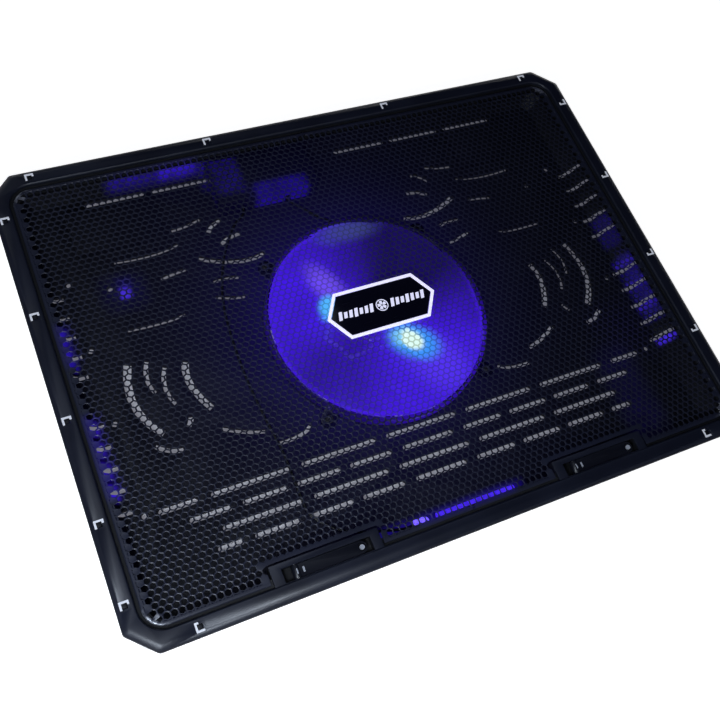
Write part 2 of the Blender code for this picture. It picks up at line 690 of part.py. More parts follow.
def fan_frame(material):
    """Ring, hub plate, four struts and four screw ears, with the tube that holds the bearing."""
    frame = mesh_object("fan_frame", tube(RING_INNER, RING_OUTER, FAN_FLOOR, FAN_FLOOR + RING_HEIGHT, 64), material)
    plate, ears = bmesh.new(), bmesh.new()
    prism(circle(HUB_RADIUS + 0.7, 32), FAN_FLOOR, FAN_PLATE_TOP, plate)
    for axis in (0, 1):
        reach, half = RING_INNER + RING_WALL / 2, STRUT_WIDTH / 2
        spans = [(-reach, reach), (-half, half)]
        bar = bmesh.new()
        box(spans[axis], spans[1 - axis], (FAN_FLOOR + 0.01, FAN_PLATE_TOP - 0.01), bar)
        joined(frame, bar)
    joined(frame, plate)
    for _, turn in LED_ANGLES:
        corners = [polar(radius, turn) for radius in (HUB_RADIUS - 2, HUB_RADIUS + 7.5)]
        prism(stroke_outline(corners[0], polar(HUB_RADIUS + 3, turn), corners[1], 6.0, steps=1),
              FAN_FLOOR + 0.02, FAN_PLATE_TOP - 0.02, ears)
    for turn in (45, 135, 225, 315):
        neck = [polar(RING_OUTER - 0.7, turn), polar(RING_OUTER + 2, turn), polar(EAR_PLACE, turn)]
        outline = stroke_outline(*neck, 2 * EAR_RADIUS, steps=1)
        prism(outline, FAN_FLOOR + 0.02, FAN_FLOOR + 2.5, ears)
    joined(frame, ears)
    rounds, holes = bmesh.new(), bmesh.new()
    for turn in (45, 135, 225, 315):
        prism(circle(EAR_RADIUS, 14, polar(EAR_PLACE, turn)), FAN_FLOOR + 0.04, FAN_FLOOR + 2.48, rounds)
        prism(circle(1.4, 10, polar(EAR_PLACE, turn)), FAN_FLOOR - 1, FAN_FLOOR + 4, holes)
    tube(SHAFT_RADIUS + 1.95, SHAFT_RADIUS + 3.55, FAN_PLATE_TOP - 0.5, HUB_CEILING - 2.0, 20, rounds)
    box((-1.3, 1.3), (RING_INNER - 1, RING_OUTER + 1), (FAN_PLATE_TOP, LEAD_LEVEL + 1.2), holes)
    joined(frame, rounds)
    return cut(frame, holes)


def blade(turn, shape):
    """One swept blade, a thin curved plate whose root is sunk into the hub wall."""
    rows, columns = 6, 6
    low = HUB_UNDER + 0.4 + BLADE_THICKNESS / 2
    layers = []
    for side in (-0.5, 0.5):
        layer = []
        for row in range(rows + 1):
            radius = HUB_RADIUS - 0.8 + (BLADE_TIP_RADIUS - HUB_RADIUS + 0.8) * row / rows
            lead = turn + BLADE_SWEEP * (row / rows) ** 2
            line = []
            for column in range(columns + 1):
                across = column / columns
                angle = lead + across * BLADE_CHORD
                rise = BLADE_RISE * (across + 0.18 * math.sin(math.pi * across))
                point = (radius * math.cos(angle), radius * math.sin(angle), low + rise + side * BLADE_THICKNESS)
                line.append(shape.verts.new(point))
            layer.append(line)
        layers.append(layer)
    under, over = layers
    for row in range(rows):
        for column in range(columns):
            for layer in layers:
                shape.faces.new((layer[row][column], layer[row][column + 1],
                                 layer[row + 1][column + 1], layer[row + 1][column]))
    edge = [(0, c) for c in range(columns)] + [(r, columns) for r in range(rows)]
    edge += [(rows, c) for c in range(columns, 0, -1)] + [(r, 0) for r in range(rows, 0, -1)]
    for (r, c), (s, d) in zip(edge, edge[1:] + edge[:1]):
        shape.faces.new((under[r][c], under[s][d], over[s][d], over[r][c]))


def fan_rotor(material):
    """The hub cup with its swept blades, and the socket that takes the shaft."""
    inner = HUB_RADIUS - HUB_WALL
    socket, boss = SHAFT_RADIUS + GAP, SHAFT_RADIUS + 1.75
    roof = HUB_TOP - 0.7
    rings = [
        (socket, roof), (socket, HUB_CEILING - 1.4), (boss, HUB_CEILING - 1.4), (boss, HUB_CEILING),
        (inner, HUB_CEILING), (inner, HUB_UNDER), (HUB_RADIUS, HUB_UNDER), (HUB_RADIUS, HUB_TOP - 0.8),
        (HUB_RADIUS - 0.8, HUB_TOP),
    ]
    hub = lofted([at_height(circle(radius, 36), height) for radius, height in rings])
    rotor = mesh_object("fan_rotor", hub, material, smooth=True)
    blades = bmesh.new()
    for step in range(BLADE_COUNT):
        blade(2 * math.pi * step / BLADE_COUNT, blades)
    return joined(rotor, blades)


def rotor_insides(magnet_material, shaft_material, rotor):
    """The magnet ring and the shaft, which turn with the rotor."""
    outer = HUB_RADIUS - HUB_WALL - GAP
    magnet = tube(outer - 1.8, outer, HUB_UNDER + 0.2, HUB_CEILING - GAP, 36)
    shaft = prism(circle(SHAFT_RADIUS, 16), FAN_PLATE_TOP + 0.7, HUB_TOP - 0.7 - GAP)
    nodes = [mesh_object("rotor_magnet", magnet, magnet_material, smooth=True),
             mesh_object("fan_shaft", shaft, shaft_material, smooth=True)]
    for node in nodes:
        node.parent = rotor


def stator_outline():
    """A core with four T-shaped poles."""
    outline = []
    for pole in range(4):
        turn = pole * 90
        arm = Matrix.Rotation(math.radians(turn), 2)
        outline += [tuple(arm @ Vector((x, -1.5))) for x in (7.6, 12.9)]
        outline += [polar(12.9, turn - 32)]
        outline += [polar(15.4, turn + step) for step in (-32, -16, 0, 16, 32)]
        outline += [polar(12.9, turn + 32)]
        outline += [tuple(arm @ Vector((x, 1.5))) for x in (12.9, 7.6)]
    return outline


def motor(core_material, coil_material, board_material, bearing_material):
    """Stator, four coils, the ring-shaped circuit board and the sleeve bearing."""
    bearing = SHAFT_RADIUS + GAP
    sleeve = tube(bearing, bearing + 1.35, FAN_PLATE_TOP + 0.7, HUB_CEILING - 2.0, 20)
    mesh_object("shaft_bearing", sleeve, bearing_material, smooth=True)
    bore = SHAFT_RADIUS + 3.55 + GAP
    board = tube(bore, 15.6, FAN_PLATE_TOP + 0.4, FAN_PLATE_TOP + 1.2, 28)
    mesh_object("fan_board", board, board_material)
    low, high = HUB_UNDER + 0.6, HUB_UNDER + 3.6
    core = mesh_object("stator_core", prism(stator_outline(), low, high), core_material)
    cut(core, prism(circle(bore, 20), low - 1, high + 1))
    for pole in range(4):
        coil = mesh_object(f"stator_coil_{pole + 1}", box((8.4, 11.9), (-3.2, 3.2), (low - 1, high + 1)), coil_material)
        cut(coil, box((7, 14), (-1.8, 1.8), (low - GAP, high + GAP)))
        coil.rotation_euler.z = math.radians(90 * pole)


def fan_lights(material):
    """Flat light-emitting diodes on the tabs beside the hub."""
    for name, turn in LED_ANGLES:
        middle = HUB_RADIUS + 3.6
        outline = stroke_outline(polar(middle - 2.2, turn), polar(middle, turn), polar(middle + 2.2, turn), 3.4, 1)
        mesh_object(name, prism(outline, FAN_PLATE_TOP + GAP, FAN_PLATE_TOP + 1.4), material)


def screw(name, centre, seat, point, head_radius, shank_radius, material):
    """A pan-head screw standing on seat and reaching down to point."""
    recess = head_radius * 0.42
    profile = [
        (shank_radius * 0.5, point), (shank_radius, point + 0.6), (shank_radius, seat), (head_radius, seat),
        (head_radius, seat + 0.7), (head_radius * 0.72, seat + 1.5), (recess, seat + 1.5),
        (recess * 0.6, seat + 0.7),
    ]
    rings = [at_height(circle(radius, 12, centre), height) for radius, height in profile]
    mesh_object(name, lofted(rings), material, smooth=True)


def fan_screws(material):
    for number, turn in enumerate((45, 135, 225, 315), start=1):
        seat = FAN_FLOOR + 2.5 + GAP
        screw(f"fan_screw_{number}", polar(EAR_PLACE, turn), seat, FLOOR_UNDER + 0.5, 2.4, 1.1, material)


# ---------------------------------------------------------------- stops and legs


def stops(stop_material, pin_material):
    """Two flip-up bars that lie flush at the front edge, each on a pin along Y at its left end."""
    half = STOP_WIDTH / 2
    for name, pivot in STOP_PIVOTS:
        low = STOP_AXIS_Z - STOP_THICKNESS / 2
        high = low + STOP_THICKNESS
        tip = pivot + STOP_LENGTH - half
        end = [(tip + half * math.sin(math.radians(turn)), STOP_MIDDLE - half * math.cos(math.radians(turn)))
               for turn in range(0, 181, 30)]
        bar = prism([(pivot, STOP_MIDDLE - half), *end, (pivot, STOP_MIDDLE + half)], low, high)
        hinge = (pivot, STOP_MIDDLE, STOP_AXIS_Z)
        stop = mesh_object(name, bar, stop_material, pivot=hinge)
        barrel = rod("Y", STOP_MIDDLE - half, STOP_MIDDLE + half, STOP_BARREL, (pivot, STOP_AXIS_Z), 16)
        joined(stop, barrel)
        holes = rod("Y", STOP_MIDDLE - half - 1, STOP_MIDDLE + half + 1, STOP_PIN_RADIUS + GAP, (pivot, STOP_AXIS_Z))
        prism(circle(2.0, 14, (tip + 0.8, STOP_MIDDLE)), low - 1, high + 1, holes)
        cut(stop, holes)
        pin = rod("Y", STOP_MIDDLE - half - 3.0, STOP_MIDDLE + half + 2.8, STOP_PIN_RADIUS, (pivot, STOP_AXIS_Z))
        mesh_object(f"{name}_pin", pin, pin_material, smooth=True)


def legs(leg_material, pin_material, pad_material):
    """Two fold-out legs under the rear edge, each a wide flat plate on a pin along X."""
    for name, sign in (("left_leg", -1), ("right_leg", 1)):
        middle = sign * (HALF_X - LEG_INSET_X)
        across = (middle - LEG_WIDTH / 2, middle + LEG_WIDTH / 2)
        hinge = (middle, LEG_AXIS_Y, LEG_AXIS_Z)
        tip = LEG_AXIS_Y - LEG_LENGTH
        thickness = (LEG_AXIS_Z - LEG_BARREL, LEG_AXIS_Z + LEG_BARREL)
        leg = mesh_object(name, box(across, (tip + LEG_PAD + GAP, LEG_AXIS_Y), thickness), leg_material, pivot=hinge)
        joined(leg, rod("X", *across, LEG_BARREL, (LEG_AXIS_Y, LEG_AXIS_Z), 16))
        holes = rod("X", across[0] - 1, across[1] + 1, LEG_PIN_RADIUS + GAP, (LEG_AXIS_Y, LEG_AXIS_Z))
        window = (middle - LEG_WIDTH / 4, middle + LEG_WIDTH / 4)
        box(window, (tip + 7.0, LEG_AXIS_Y - 6.0), (thickness[0] - 1, thickness[1] + 1), holes)
        cut(leg, holes)
        reach = LEG_WIDTH / 2 + POCKET_WALL
        pin = rod("X", middle - reach, middle + reach, LEG_PIN_RADIUS, (LEG_AXIS_Y, LEG_AXIS_Z))
        mesh_object(f"{name}_pin", pin, pin_material, smooth=True)
        pad = box((across[0] + 3, across[1] - 3), (tip, tip + LEG_PAD), (thickness[0] + 0.5, thickness[1] - 0.5))
        pad_node = mesh_object(f"{name}_pad", pad, pad_material, pivot=hinge)
        pad_node.location = (0, 0, 0)
        pad_node.parent = leg


# ---------------------------------------------------------------- sockets, switch, leads, light


def board_screw_places():
    return (BOARD_LEFT + 3.0, BOARD_REAR - 13.0), (BOARD_RIGHT - 3.5, BOARD_REAR - 15.5)


def switch_slot():
    """Low and high X of the slot that the knob runs in."""
    reach = (KNOB_WIDTH + SWITCH_TRAVEL) / 2 + 0.4
    return SWITCH_PLACE - reach, SWITCH_PLACE + reach


def usb_board(material, screw_material):
    board = box((BOARD_LEFT, BOARD_RIGHT), (BOARD_REAR - BOARD_DEPTH, BOARD_REAR), (BOARD_UNDER, BOARD_TOP))
    node = mesh_object("usb_board", board, material)
    holes = bmesh.new()
    for number, place in enumerate(board_screw_places(), start=1):
        prism(circle(1.2, 10, place), BOARD_UNDER - 1, BOARD_TOP + 1, holes)
        screw(f"board_screw_{number}", place, BOARD_TOP + GAP, FLOOR_TOP + 0.8, 1.9, 0.9, screw_material)
    cut(node, holes)


def usb_sockets(shell_material, tongue_material):
    """Two sheet-metal shells, each round an insulating tongue."""
    rear = BEZEL_FACE - GAP
    front = rear - SOCKET_DEPTH
    for name, x in SOCKET_PLACES:
        half = SOCKET_WIDTH / 2
        shell = box((x - half, x + half), (front, rear), (SOCKET_UNDER, SOCKET_TOP))
        node = mesh_object(f"{name}_shell", shell, shell_material)
        inner = half - SOCKET_SHEET
        low, high = SOCKET_UNDER + SOCKET_SHEET, SOCKET_TOP - SOCKET_SHEET
        cut(node, box((x - inner, x + inner), (front - 1, rear + 1), (low, high)))
        back = box((x - inner + GAP, x + inner - GAP), (front, front + 3.0), (low + GAP, high - GAP))
        node = mesh_object(f"{name}_tongue", back, tongue_material)
        middle = (low + high) / 2 + 0.9
        joined(node, box((x - inner + 0.9, x + inner - 0.9), (front + 1, rear - 1.2), (middle - 0.9, middle + 0.9)))


def usb_cover(material):
    """The lid over the board: five walls, open below and at the rear, with two doors for the leads."""
    left, right = BOARD_LEFT - 2.5, BOARD_RIGHT + 2.5
    front, rear = BOARD_REAR - BOARD_DEPTH - 5.5, BOARD_REAR - 0.4
    top = SOCKET_TOP + GAP + COVER_WALL
    corner = 4.0
    arc = [(right - corner + corner * math.sin(math.radians(t)), front + corner - corner * math.cos(math.radians(t)))
           for t in range(0, 91, 18)]
    outline = [(left, rear), (left, front), *arc, (right, rear)]
    cover = mesh_object("usb_cover", prism(outline, FLOOR_TOP + GAP, top), material)
    wall = COVER_WALL
    hollow = bmesh.new()
    inner_arc = [(x - wall, y + wall) for x, y in arc]
    inner = [(left + wall, rear + 1), (left + wall, front + wall), *inner_arc, (right - wall, rear + 1)]
    prism(inner, FLOOR_TOP - 1, top - wall, hollow)
    cut(cover, hollow)
    doors = bmesh.new()
    for x in (FAN_LEAD_X, LIGHT_LEAD_X):
        box((x - 2, x + 2), (front - 1, front + wall + 1), (FLOOR_TOP - 1, BOARD_LEAD_LEVEL + 1.2), doors)
    return cut(cover, doors)


def connectors(material):
    for name, x in (("fan_connector", FAN_LEAD_X), ("light_connector", LIGHT_LEAD_X)):
        width, depth, height = CONNECTOR_SIZE
        low = BOARD_TOP + GAP
        body = box((x - width / 2, x + width / 2), (CONNECTOR_FRONT, CONNECTOR_FRONT + depth), (low, low + height))
        mesh_object(name, body, material)


def power_switch(body_material, knob_material):
    """A slide switch on the board whose knob comes out through the bezel."""
    slot = switch_slot()
    low, high = BOARD_TOP + GAP, BOARD_TOP + 5.3
    body = box((slot[0] - 1, slot[1] + 1), (BOARD_REAR - 7.5, BOARD_REAR), (low, high))
    node = mesh_object("power_switch_body", body, body_material)
    cut(node, box(slot, (BOARD_REAR - 3.5, BOARD_REAR + 1), (BOARD_TOP + 1.2, BOARD_TOP + 4.4)))
    left = slot[0] + 0.4
    middle = (BOARD_TOP + 1.6, BOARD_TOP + 4.0)
    knob = mesh_object("power_switch_knob", box((left, left + KNOB_WIDTH), (BOARD_REAR - 3.0, BEZEL_FACE + 1.8), middle),
                       knob_material)
    grips = bmesh.new()
    for step in (0.25, 0.5, 0.75):
        x = left + KNOB_WIDTH * step
        box((x - 0.2, x + 0.2), (BEZEL_FACE + 1.4, BEZEL_FACE + 3), (middle[0] - 1, middle[1] + 1), grips)
    return cut(knob, grips)


def catmull(points, steps):
    """A smooth curve through every point."""
    path = [Vector(point) for point in points]
    ends = [2 * path[0] - path[1], *path, 2 * path[-1] - path[-2]]
    curve = []
    for a, b, c, d in zip(ends, ends[1:], ends[2:], ends[3:]):
        for step in range(steps):
            t = step / steps
            curve.append(0.5 * (2 * b + (c - a) * t + (2 * a - 5 * b + 4 * c - d) * t**2
                                + (3 * b - a - 3 * c + d) * t**3))
    return [*curve, path[-1]]


def lead(name, points, steps, material):
    """A round two-core lead through the points."""
    curve = bpy.data.curves.new(name, "CURVE")
    curve.dimensions = "3D"
    spline = curve.splines.new("POLY")
    path = catmull(points, steps)
    spline.points.add(len(path) - 1)
    for knot, point in zip(spline.points, path):
        knot.co = (*(point * MM), 1)
    curve.bevel_depth = LEAD_DIAMETER / 2 * MM
    curve.bevel_resolution = 2
    curve.use_fill_caps = True
    curve.materials.append(material)
    bpy.context.scene.collection.objects.link(bpy.data.objects.new(name, curve))


def leads(material):
    """The fan's lead along the rear strut, and the front light's lead round the left of the fan."""
    resting = FLOOR_TOP + GAP + LEAD_DIAMETER / 2
    board_front = BOARD_REAR - BOARD_DEPTH
    lift = (resting + BOARD_LEAD_LEVEL) / 2
    plug = CONNECTOR_FRONT - GAP
    start, end = RING_OUTER + 2, board_front - 5.5  # between the ring and the board, the lead takes what room there is
    first, second, third = [start + (end - start) * share for share in (0.17, 0.42, 0.77)]
    lead("fan_lead", [
        (0, 16.4, LEAD_LEVEL), (0, 28, LEAD_LEVEL), (0, 42, LEAD_LEVEL), (0, RING_INNER - 5, LEAD_LEVEL),
        (0, start, LEAD_LEVEL), (-2, first, LEAD_LEVEL - 1.2), (-8, second, resting),
        (-15, third, resting), (FAN_LEAD_X, end, resting),
        (FAN_LEAD_X, board_front - 2.6, lift), (FAN_LEAD_X, board_front, BOARD_LEAD_LEVEL),
        (FAN_LEAD_X, plug, BOARD_LEAD_LEVEL),
    ], 3, material)
    lane = -(RING_OUTER + 14.0)
    lead("light_lead", [
        (FRONT_LED_LEFT - GAP, LIGHT_Y, LIGHT_Z), (FRONT_LED_LEFT - 5, LIGHT_Y, LIGHT_Z - 0.6),
        (FRONT_LED_LEFT - 12, LIGHT_Y + 2, resting), (lane + 16, LIGHT_Y + 9, resting),
        (lane + 2, LIGHT_Y + 22, resting), (lane, FIRST_ROW - 15, resting), (lane, FIRST_ROW + 8, resting),
        (lane - 3, -30, resting), (lane - 4, 0, resting), (lane - 1, 34, resting), (lane + 9, 62, resting),
        (lane + 21, board_front - 15, resting), (LIGHT_LEAD_X - 2, board_front - 9.0, resting),
        (LIGHT_LEAD_X, board_front - 5.5, resting), (LIGHT_LEAD_X, board_front - 2.6, lift),
        (LIGHT_LEAD_X, board_front, BOARD_LEAD_LEVEL), (LIGHT_LEAD_X, plug, BOARD_LEAD_LEVEL),
    ], 4, material)


def front_light(led_material, bar_material):
    """A round diode shining into a clear bar along the front wall."""
    dome = FRONT_LED_LEFT + FRONT_LED_LENGTH
    stations = [(FRONT_LED_LEFT, 1.0), (dome - 2.2, 1.0), (dome - 1.0, 0.82), (dome - 0.3, 0.5), (dome, 0.2)]
    rings = [[(x, a, b) for a, b in circle(FRONT_LED_RADIUS * share, 14, (LIGHT_Y, LIGHT_Z))]
             for x, share in stations]
    mesh_object("front_led", lofted(rings), led_material, smooth=True)
    bar = rod("X", LIGHT_BAR_LEFT, LIGHT_BAR_RIGHT, LIGHT_BAR_RADIUS, (LIGHT_Y, LIGHT_Z), 14)
    mesh_object("front_light_bar", bar, bar_material, smooth=True)


# ---------------------------------------------------------------- the pad


def clear_scene():
    for item in list(bpy.data.objects):
        bpy.data.objects.remove(item)


def build():
    clear_scene()
    case = finish("case_plastic", (0.028, 0.031, 0.04), 0.42)
    tray = finish("tray_plastic", (0.016, 0.017, 0.022), 0.5)
    panel = finish("panel_steel", (0.035, 0.037, 0.045), 0.38, metallic=0.6)
    white = finish("nameplate_white", (0.8, 0.8, 0.84), 0.35)
    black = finish("nameplate_black", (0.01, 0.01, 0.014), 0.25)
    blue = finish("lit_blue", (0.06, 0.03, 0.75), 0.25, glow=1.0, alpha=0.85)
    lamp = finish("diode_blue", (0.35, 0.6, 1.0), 0.15, glow=8.0)
    steel = finish("bright_steel", (0.6, 0.6, 0.62), 0.28, metallic=1.0)
    dark_steel = finish("black_screw", (0.05, 0.05, 0.055), 0.35, metallic=0.9)
    magnet = finish("magnet_ferrite", (0.09, 0.085, 0.08), 0.6)
    core = finish("stator_steel", (0.3, 0.3, 0.31), 0.5, metallic=0.9)
    copper = finish("coil_copper", (0.65, 0.28, 0.12), 0.35, metallic=0.9)
    bronze = finish("bearing_bronze", (0.55, 0.38, 0.16), 0.4, metallic=0.9)
    board = finish("board_green", (0.02, 0.14, 0.06), 0.45)
    nylon = finish("connector_nylon", (0.75, 0.73, 0.68), 0.5)
    rubber = finish("foot_rubber", (0.02, 0.02, 0.02), 0.85)
    lead_skin = finish("lead_skin", (0.015, 0.015, 0.017), 0.55)

    top_frame(case)
    mesh_panel(panel)
    nameplate(white, black)
    base_tray(tray)
    feet(rubber)
    fan_frame(blue)
    rotor = fan_rotor(blue)
    rotor_insides(magnet, steel, rotor)
    motor(core, copper, board, bronze)
    fan_lights(lamp)
    fan_screws(dark_steel)
    stops(case, steel)
    legs(tray, steel, rubber)
    usb_board(board, dark_steel)
    usb_sockets(steel, nylon)
    usb_cover(tray)
    connectors(nylon)
    power_switch(black, case)
    leads(lead_skin)
    front_light(lamp, blue)


build()
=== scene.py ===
"""Looks of a laptop cooling pad: a perforated panel in a plastic frame over a slotted tray with a lit fan.

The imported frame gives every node's place, in metres, standing on Z 0. X runs to the right and Y to
the rear edge, where the sockets are. Sizes here are in millimetres until they are multiplied by MM.
"""

from __future__ import annotations

import json
import logging
import math
from dataclasses import dataclass, field
from enum import Enum
from typing import Any, Callable, Iterable, Sequence

import bmesh
import bpy
from mathutils import Matrix, Vector

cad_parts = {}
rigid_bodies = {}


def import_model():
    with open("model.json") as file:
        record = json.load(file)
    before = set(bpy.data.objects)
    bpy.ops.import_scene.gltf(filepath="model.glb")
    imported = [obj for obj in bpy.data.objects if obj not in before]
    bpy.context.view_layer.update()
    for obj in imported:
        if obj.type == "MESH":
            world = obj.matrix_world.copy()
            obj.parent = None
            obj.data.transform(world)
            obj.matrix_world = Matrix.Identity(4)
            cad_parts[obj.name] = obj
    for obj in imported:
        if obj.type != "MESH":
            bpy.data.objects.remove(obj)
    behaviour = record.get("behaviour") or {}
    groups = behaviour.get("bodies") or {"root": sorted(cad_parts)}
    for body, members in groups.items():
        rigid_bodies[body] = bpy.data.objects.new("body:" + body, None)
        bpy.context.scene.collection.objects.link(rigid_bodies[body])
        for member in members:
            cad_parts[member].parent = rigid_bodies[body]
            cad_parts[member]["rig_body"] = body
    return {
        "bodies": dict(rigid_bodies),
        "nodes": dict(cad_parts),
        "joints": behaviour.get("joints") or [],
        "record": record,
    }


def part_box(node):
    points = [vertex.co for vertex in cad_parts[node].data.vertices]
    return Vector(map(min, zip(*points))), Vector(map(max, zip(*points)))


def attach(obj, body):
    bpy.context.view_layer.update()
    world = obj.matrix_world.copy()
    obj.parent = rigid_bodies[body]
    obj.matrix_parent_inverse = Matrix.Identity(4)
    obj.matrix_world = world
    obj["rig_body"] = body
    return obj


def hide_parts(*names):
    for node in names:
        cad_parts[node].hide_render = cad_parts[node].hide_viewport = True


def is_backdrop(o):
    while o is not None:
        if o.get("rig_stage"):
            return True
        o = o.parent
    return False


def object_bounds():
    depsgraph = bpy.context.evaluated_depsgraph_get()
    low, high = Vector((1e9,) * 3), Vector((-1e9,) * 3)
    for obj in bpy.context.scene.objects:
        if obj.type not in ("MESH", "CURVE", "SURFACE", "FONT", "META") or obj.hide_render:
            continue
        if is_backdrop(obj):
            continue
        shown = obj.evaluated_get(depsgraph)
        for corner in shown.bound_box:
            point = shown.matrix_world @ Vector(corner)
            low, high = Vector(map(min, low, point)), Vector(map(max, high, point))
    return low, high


LOG = logging.getLogger("cooling_pad")
MM = 0.001
FLOOR_LEVEL = 5.6
MERGE = 1e-6
BEVEL_SEGMENTS = 2
BEVEL_ANGLE = 28.0
STOP_PINS = ("left_stop_pin", "right_stop_pin")

RGB = tuple[float, float, float]
Point = tuple[float, float, float]
Place = tuple[float, float]
BLACK: RGB = (0.0, 0.0, 0.0)


def direction(degrees: float) -> Place:
    """Returns the cosine and sine of an angle."""
    return math.cos(math.radians(degrees)), math.sin(math.radians(degrees))


def tint(colour: RGB, share: float, added: float = 0.0) -> RGB:
    """Returns a share of a colour, with some grey added."""
    return tuple(part * share + added for part in colour)


# ---------------------------------------------------------------- node trees


def math_method(operation: str, swapped: bool = False) -> Callable[..., Field]:
    """Makes a Field method for one Math node.

    Args:
        operation: The node's operation.
        swapped: Whether the other operand comes first.

    Returns:
        A method that takes the other operands, if the operation has any.
    """

    def method(self: Field, *others: Field | float) -> Field:
        """Adds the node and returns its value."""
        return self.tree.maths(operation, *((*others, self) if swapped else (self, *others)))

    return method


class Field:
    """A number, vector, colour or geometry that nodes work out, with Python's operators on numbers."""

    def __init__(self, tree: NodeTree, socket: bpy.types.NodeSocket) -> None:
        """Wraps an output socket of a tree."""
        self.tree = tree
        self.socket = socket

    __add__ = __radd__ = math_method("ADD")
    __sub__ = math_method("SUBTRACT")
    __rsub__ = math_method("SUBTRACT", swapped=True)
    __mul__ = __rmul__ = math_method("MULTIPLY")
    __truediv__ = math_method("DIVIDE")
    __pow__ = math_method("POWER")
    __lt__ = math_method("LESS_THAN")
    __gt__ = math_method("GREATER_THAN")
    __abs__ = math_method("ABSOLUTE")
    least = math_method("MINIMUM")
    most = math_method("MAXIMUM")
    modulo = math_method("MODULO")
    nearest = math_method("ROUND")
    exponential = math_method("EXPONENT")
    root = math_method("SQRT")

    def length(self, other: Field) -> Field:
        """Returns the length of the flat vector of this and the other."""
        return (self * self + other * other).root()

    def ramp(self, low: float, high: float) -> Field:
        """Runs smoothly from 0 at low to 1 at high; high may be the smaller."""
        ends = {"From Min": low, "From Max": high, "To Min": 0.0, "To Max": 1.0}
        if low > high:
            ends = {"From Min": high, "From Max": low, "To Min": 1.0, "To Max": 0.0}
        return self.tree.add("ShaderNodeMapRange", {"interpolation_type": "SMOOTHSTEP"}, {"Value": self, **ends})


class NodeTree:
    """A shader or geometry tree that is written as expressions."""

    def __init__(self, tree: bpy.types.NodeTree) -> None:
        """Wraps a Blender node tree."""
        self.tree = tree

    def add(
        self,
        kind: str,
        settings: dict[str, Any] | None = None,
        inputs: dict[str | int, Any] | None = None,
        output: str | int = 0,
    ) -> Field:
        """Adds one node.

        Args:
            kind: The node's type.
            settings: Its properties, set before its sockets.
            inputs: A value or a link for each socket, by name or number.
            output: The socket that is returned.

        Returns:
            The chosen output.
        """
        node = self.tree.nodes.new(kind)
        for name, value in (settings or {}).items():
            setattr(node, name, value)
        for name, value in (inputs or {}).items():
            if isinstance(value, Field):
                self.tree.links.new(value.socket, node.inputs[name])
            else:
                node.inputs[name].default_value = value
        return Field(self, node.outputs[output])

    def maths(self, operation: str, *values: Field | float) -> Field:
        """Adds a Math node of the values."""
        return self.add("ShaderNodeMath", {"operation": operation}, dict(enumerate(values)))

    def split(self, vector: Field) -> tuple[Field, Field, Field]:
        """Returns the three parts of a vector."""
        parts = self.add("ShaderNodeSeparateXYZ", None, {0: vector})
        return tuple(self.other_output(parts, axis) for axis in "XYZ")

    def other_output(self, field: Field, name: str) -> Field:
        """Returns another output of the node that made a field."""
        return Field(self, field.socket.node.outputs[name])

    def vector(self, x: Field | float, y: Field | float, z: Field | float) -> Field:
        """Returns a vector of three parts."""
        return self.add("ShaderNodeCombineXYZ", None, {0: x, 1: y, 2: z})

    def scaled(self, vector: Field, factors: Point) -> Field:
        """Returns the vector with each part multiplied by its own factor."""
        return self.add("ShaderNodeVectorMath", {"operation": "MULTIPLY"}, {0: vector, 1: factors})


class Surface(NodeTree):
    """A material's tree round one Principled shader."""

    def __init__(self, name: str) -> None:
        """Starts a material with this name."""
        self.material = bpy.data.materials.new(name)
        self.material.use_nodes = True
        super().__init__(self.material.node_tree)
        self.shader = self.tree.nodes["Principled BSDF"]
        self.place = self.add("ShaderNodeTexCoord", output="Object")
        self.x, self.y, self.z = self.split(self.place)

    def set(self, **values: Any) -> None:
        """Sets the shader's sockets, with _ for a space in their names; colours have three parts."""
        for name, value in values.items():
            socket = self.shader.inputs[name.replace("_", " ")]
            if isinstance(value, Field):
                self.tree.links.new(value.socket, socket)
            else:
                socket.default_value = (*value, 1.0) if isinstance(value, tuple) else value

    def noise(self, size: float, detail: float = 2.0, stretch: Point = (1, 1, 1), offset: float = 0.0) -> Field:
        """Returns noise from 0 to 1.

        Args:
            size: Distance in millimetres from one fleck to the next.
            detail: Octaves of finer noise on top.
            stretch: Factors on the three axes, where under 1 makes the flecks longer.
            offset: Moves the pattern, so that two noises differ.
        """
        place = self.scaled(self.place, stretch)
        if offset:
            place = self.add("ShaderNodeVectorMath", {"operation": "ADD"}, {0: place, 1: (offset,) * 3})
        return self.add("ShaderNodeTexNoise", None, {"Vector": place, "Scale": 1 / (size * MM), "Detail": detail})

    def blend(self, share: Field | float, first: Field | RGB, second: Field | RGB, kind: str = "MIX") -> Field:
        """Mixes two colours, where a share of 0 gives the first."""
        values: dict[str | int, Any] = {0: share}
        for slot, colour in ((6, first), (7, second)):
            values[slot] = (*colour, 1.0) if isinstance(colour, tuple) else colour
        return self.add("ShaderNodeMix", {"data_type": "RGBA", "blend_type": kind}, values, 2)

    def relief(self, height: Field, depth: float, normal: Field | None = None) -> Field:
        """Returns the normal of a surface raised by height times depth, in millimetres."""
        values: dict[str | int, Any] = {"Height": height, "Distance": depth * MM, "Strength": 1.0}
        if normal:
            values["Normal"] = normal
        return self.add("ShaderNodeBump", None, values)


# ---------------------------------------------------------------- finishes


@dataclass(frozen=True)
class Glow:
    """A soft-edged box of blue light lying on whatever surface is in it, in millimetres."""

    low: Point
    high: Point
    blur: float
    colour: RGB

    def share(self, surface: Surface) -> Field:
        """Returns 1 inside the box and 0 outside it."""
        sides = []
        for part, low, high in zip((surface.x, surface.y, surface.z), self.low, self.high):
            sides.append(part.ramp((low - self.blur) * MM, (low + self.blur) * MM))
            sides.append(part.ramp((high + self.blur) * MM, (high - self.blur) * MM))
        return math.prod(sides[1:], start=sides[0])


@dataclass(frozen=True)
class Lobe:
    """Light that spreads over the fan in one direction, in degrees from X."""

    turn: float
    level: float
    tightness: float


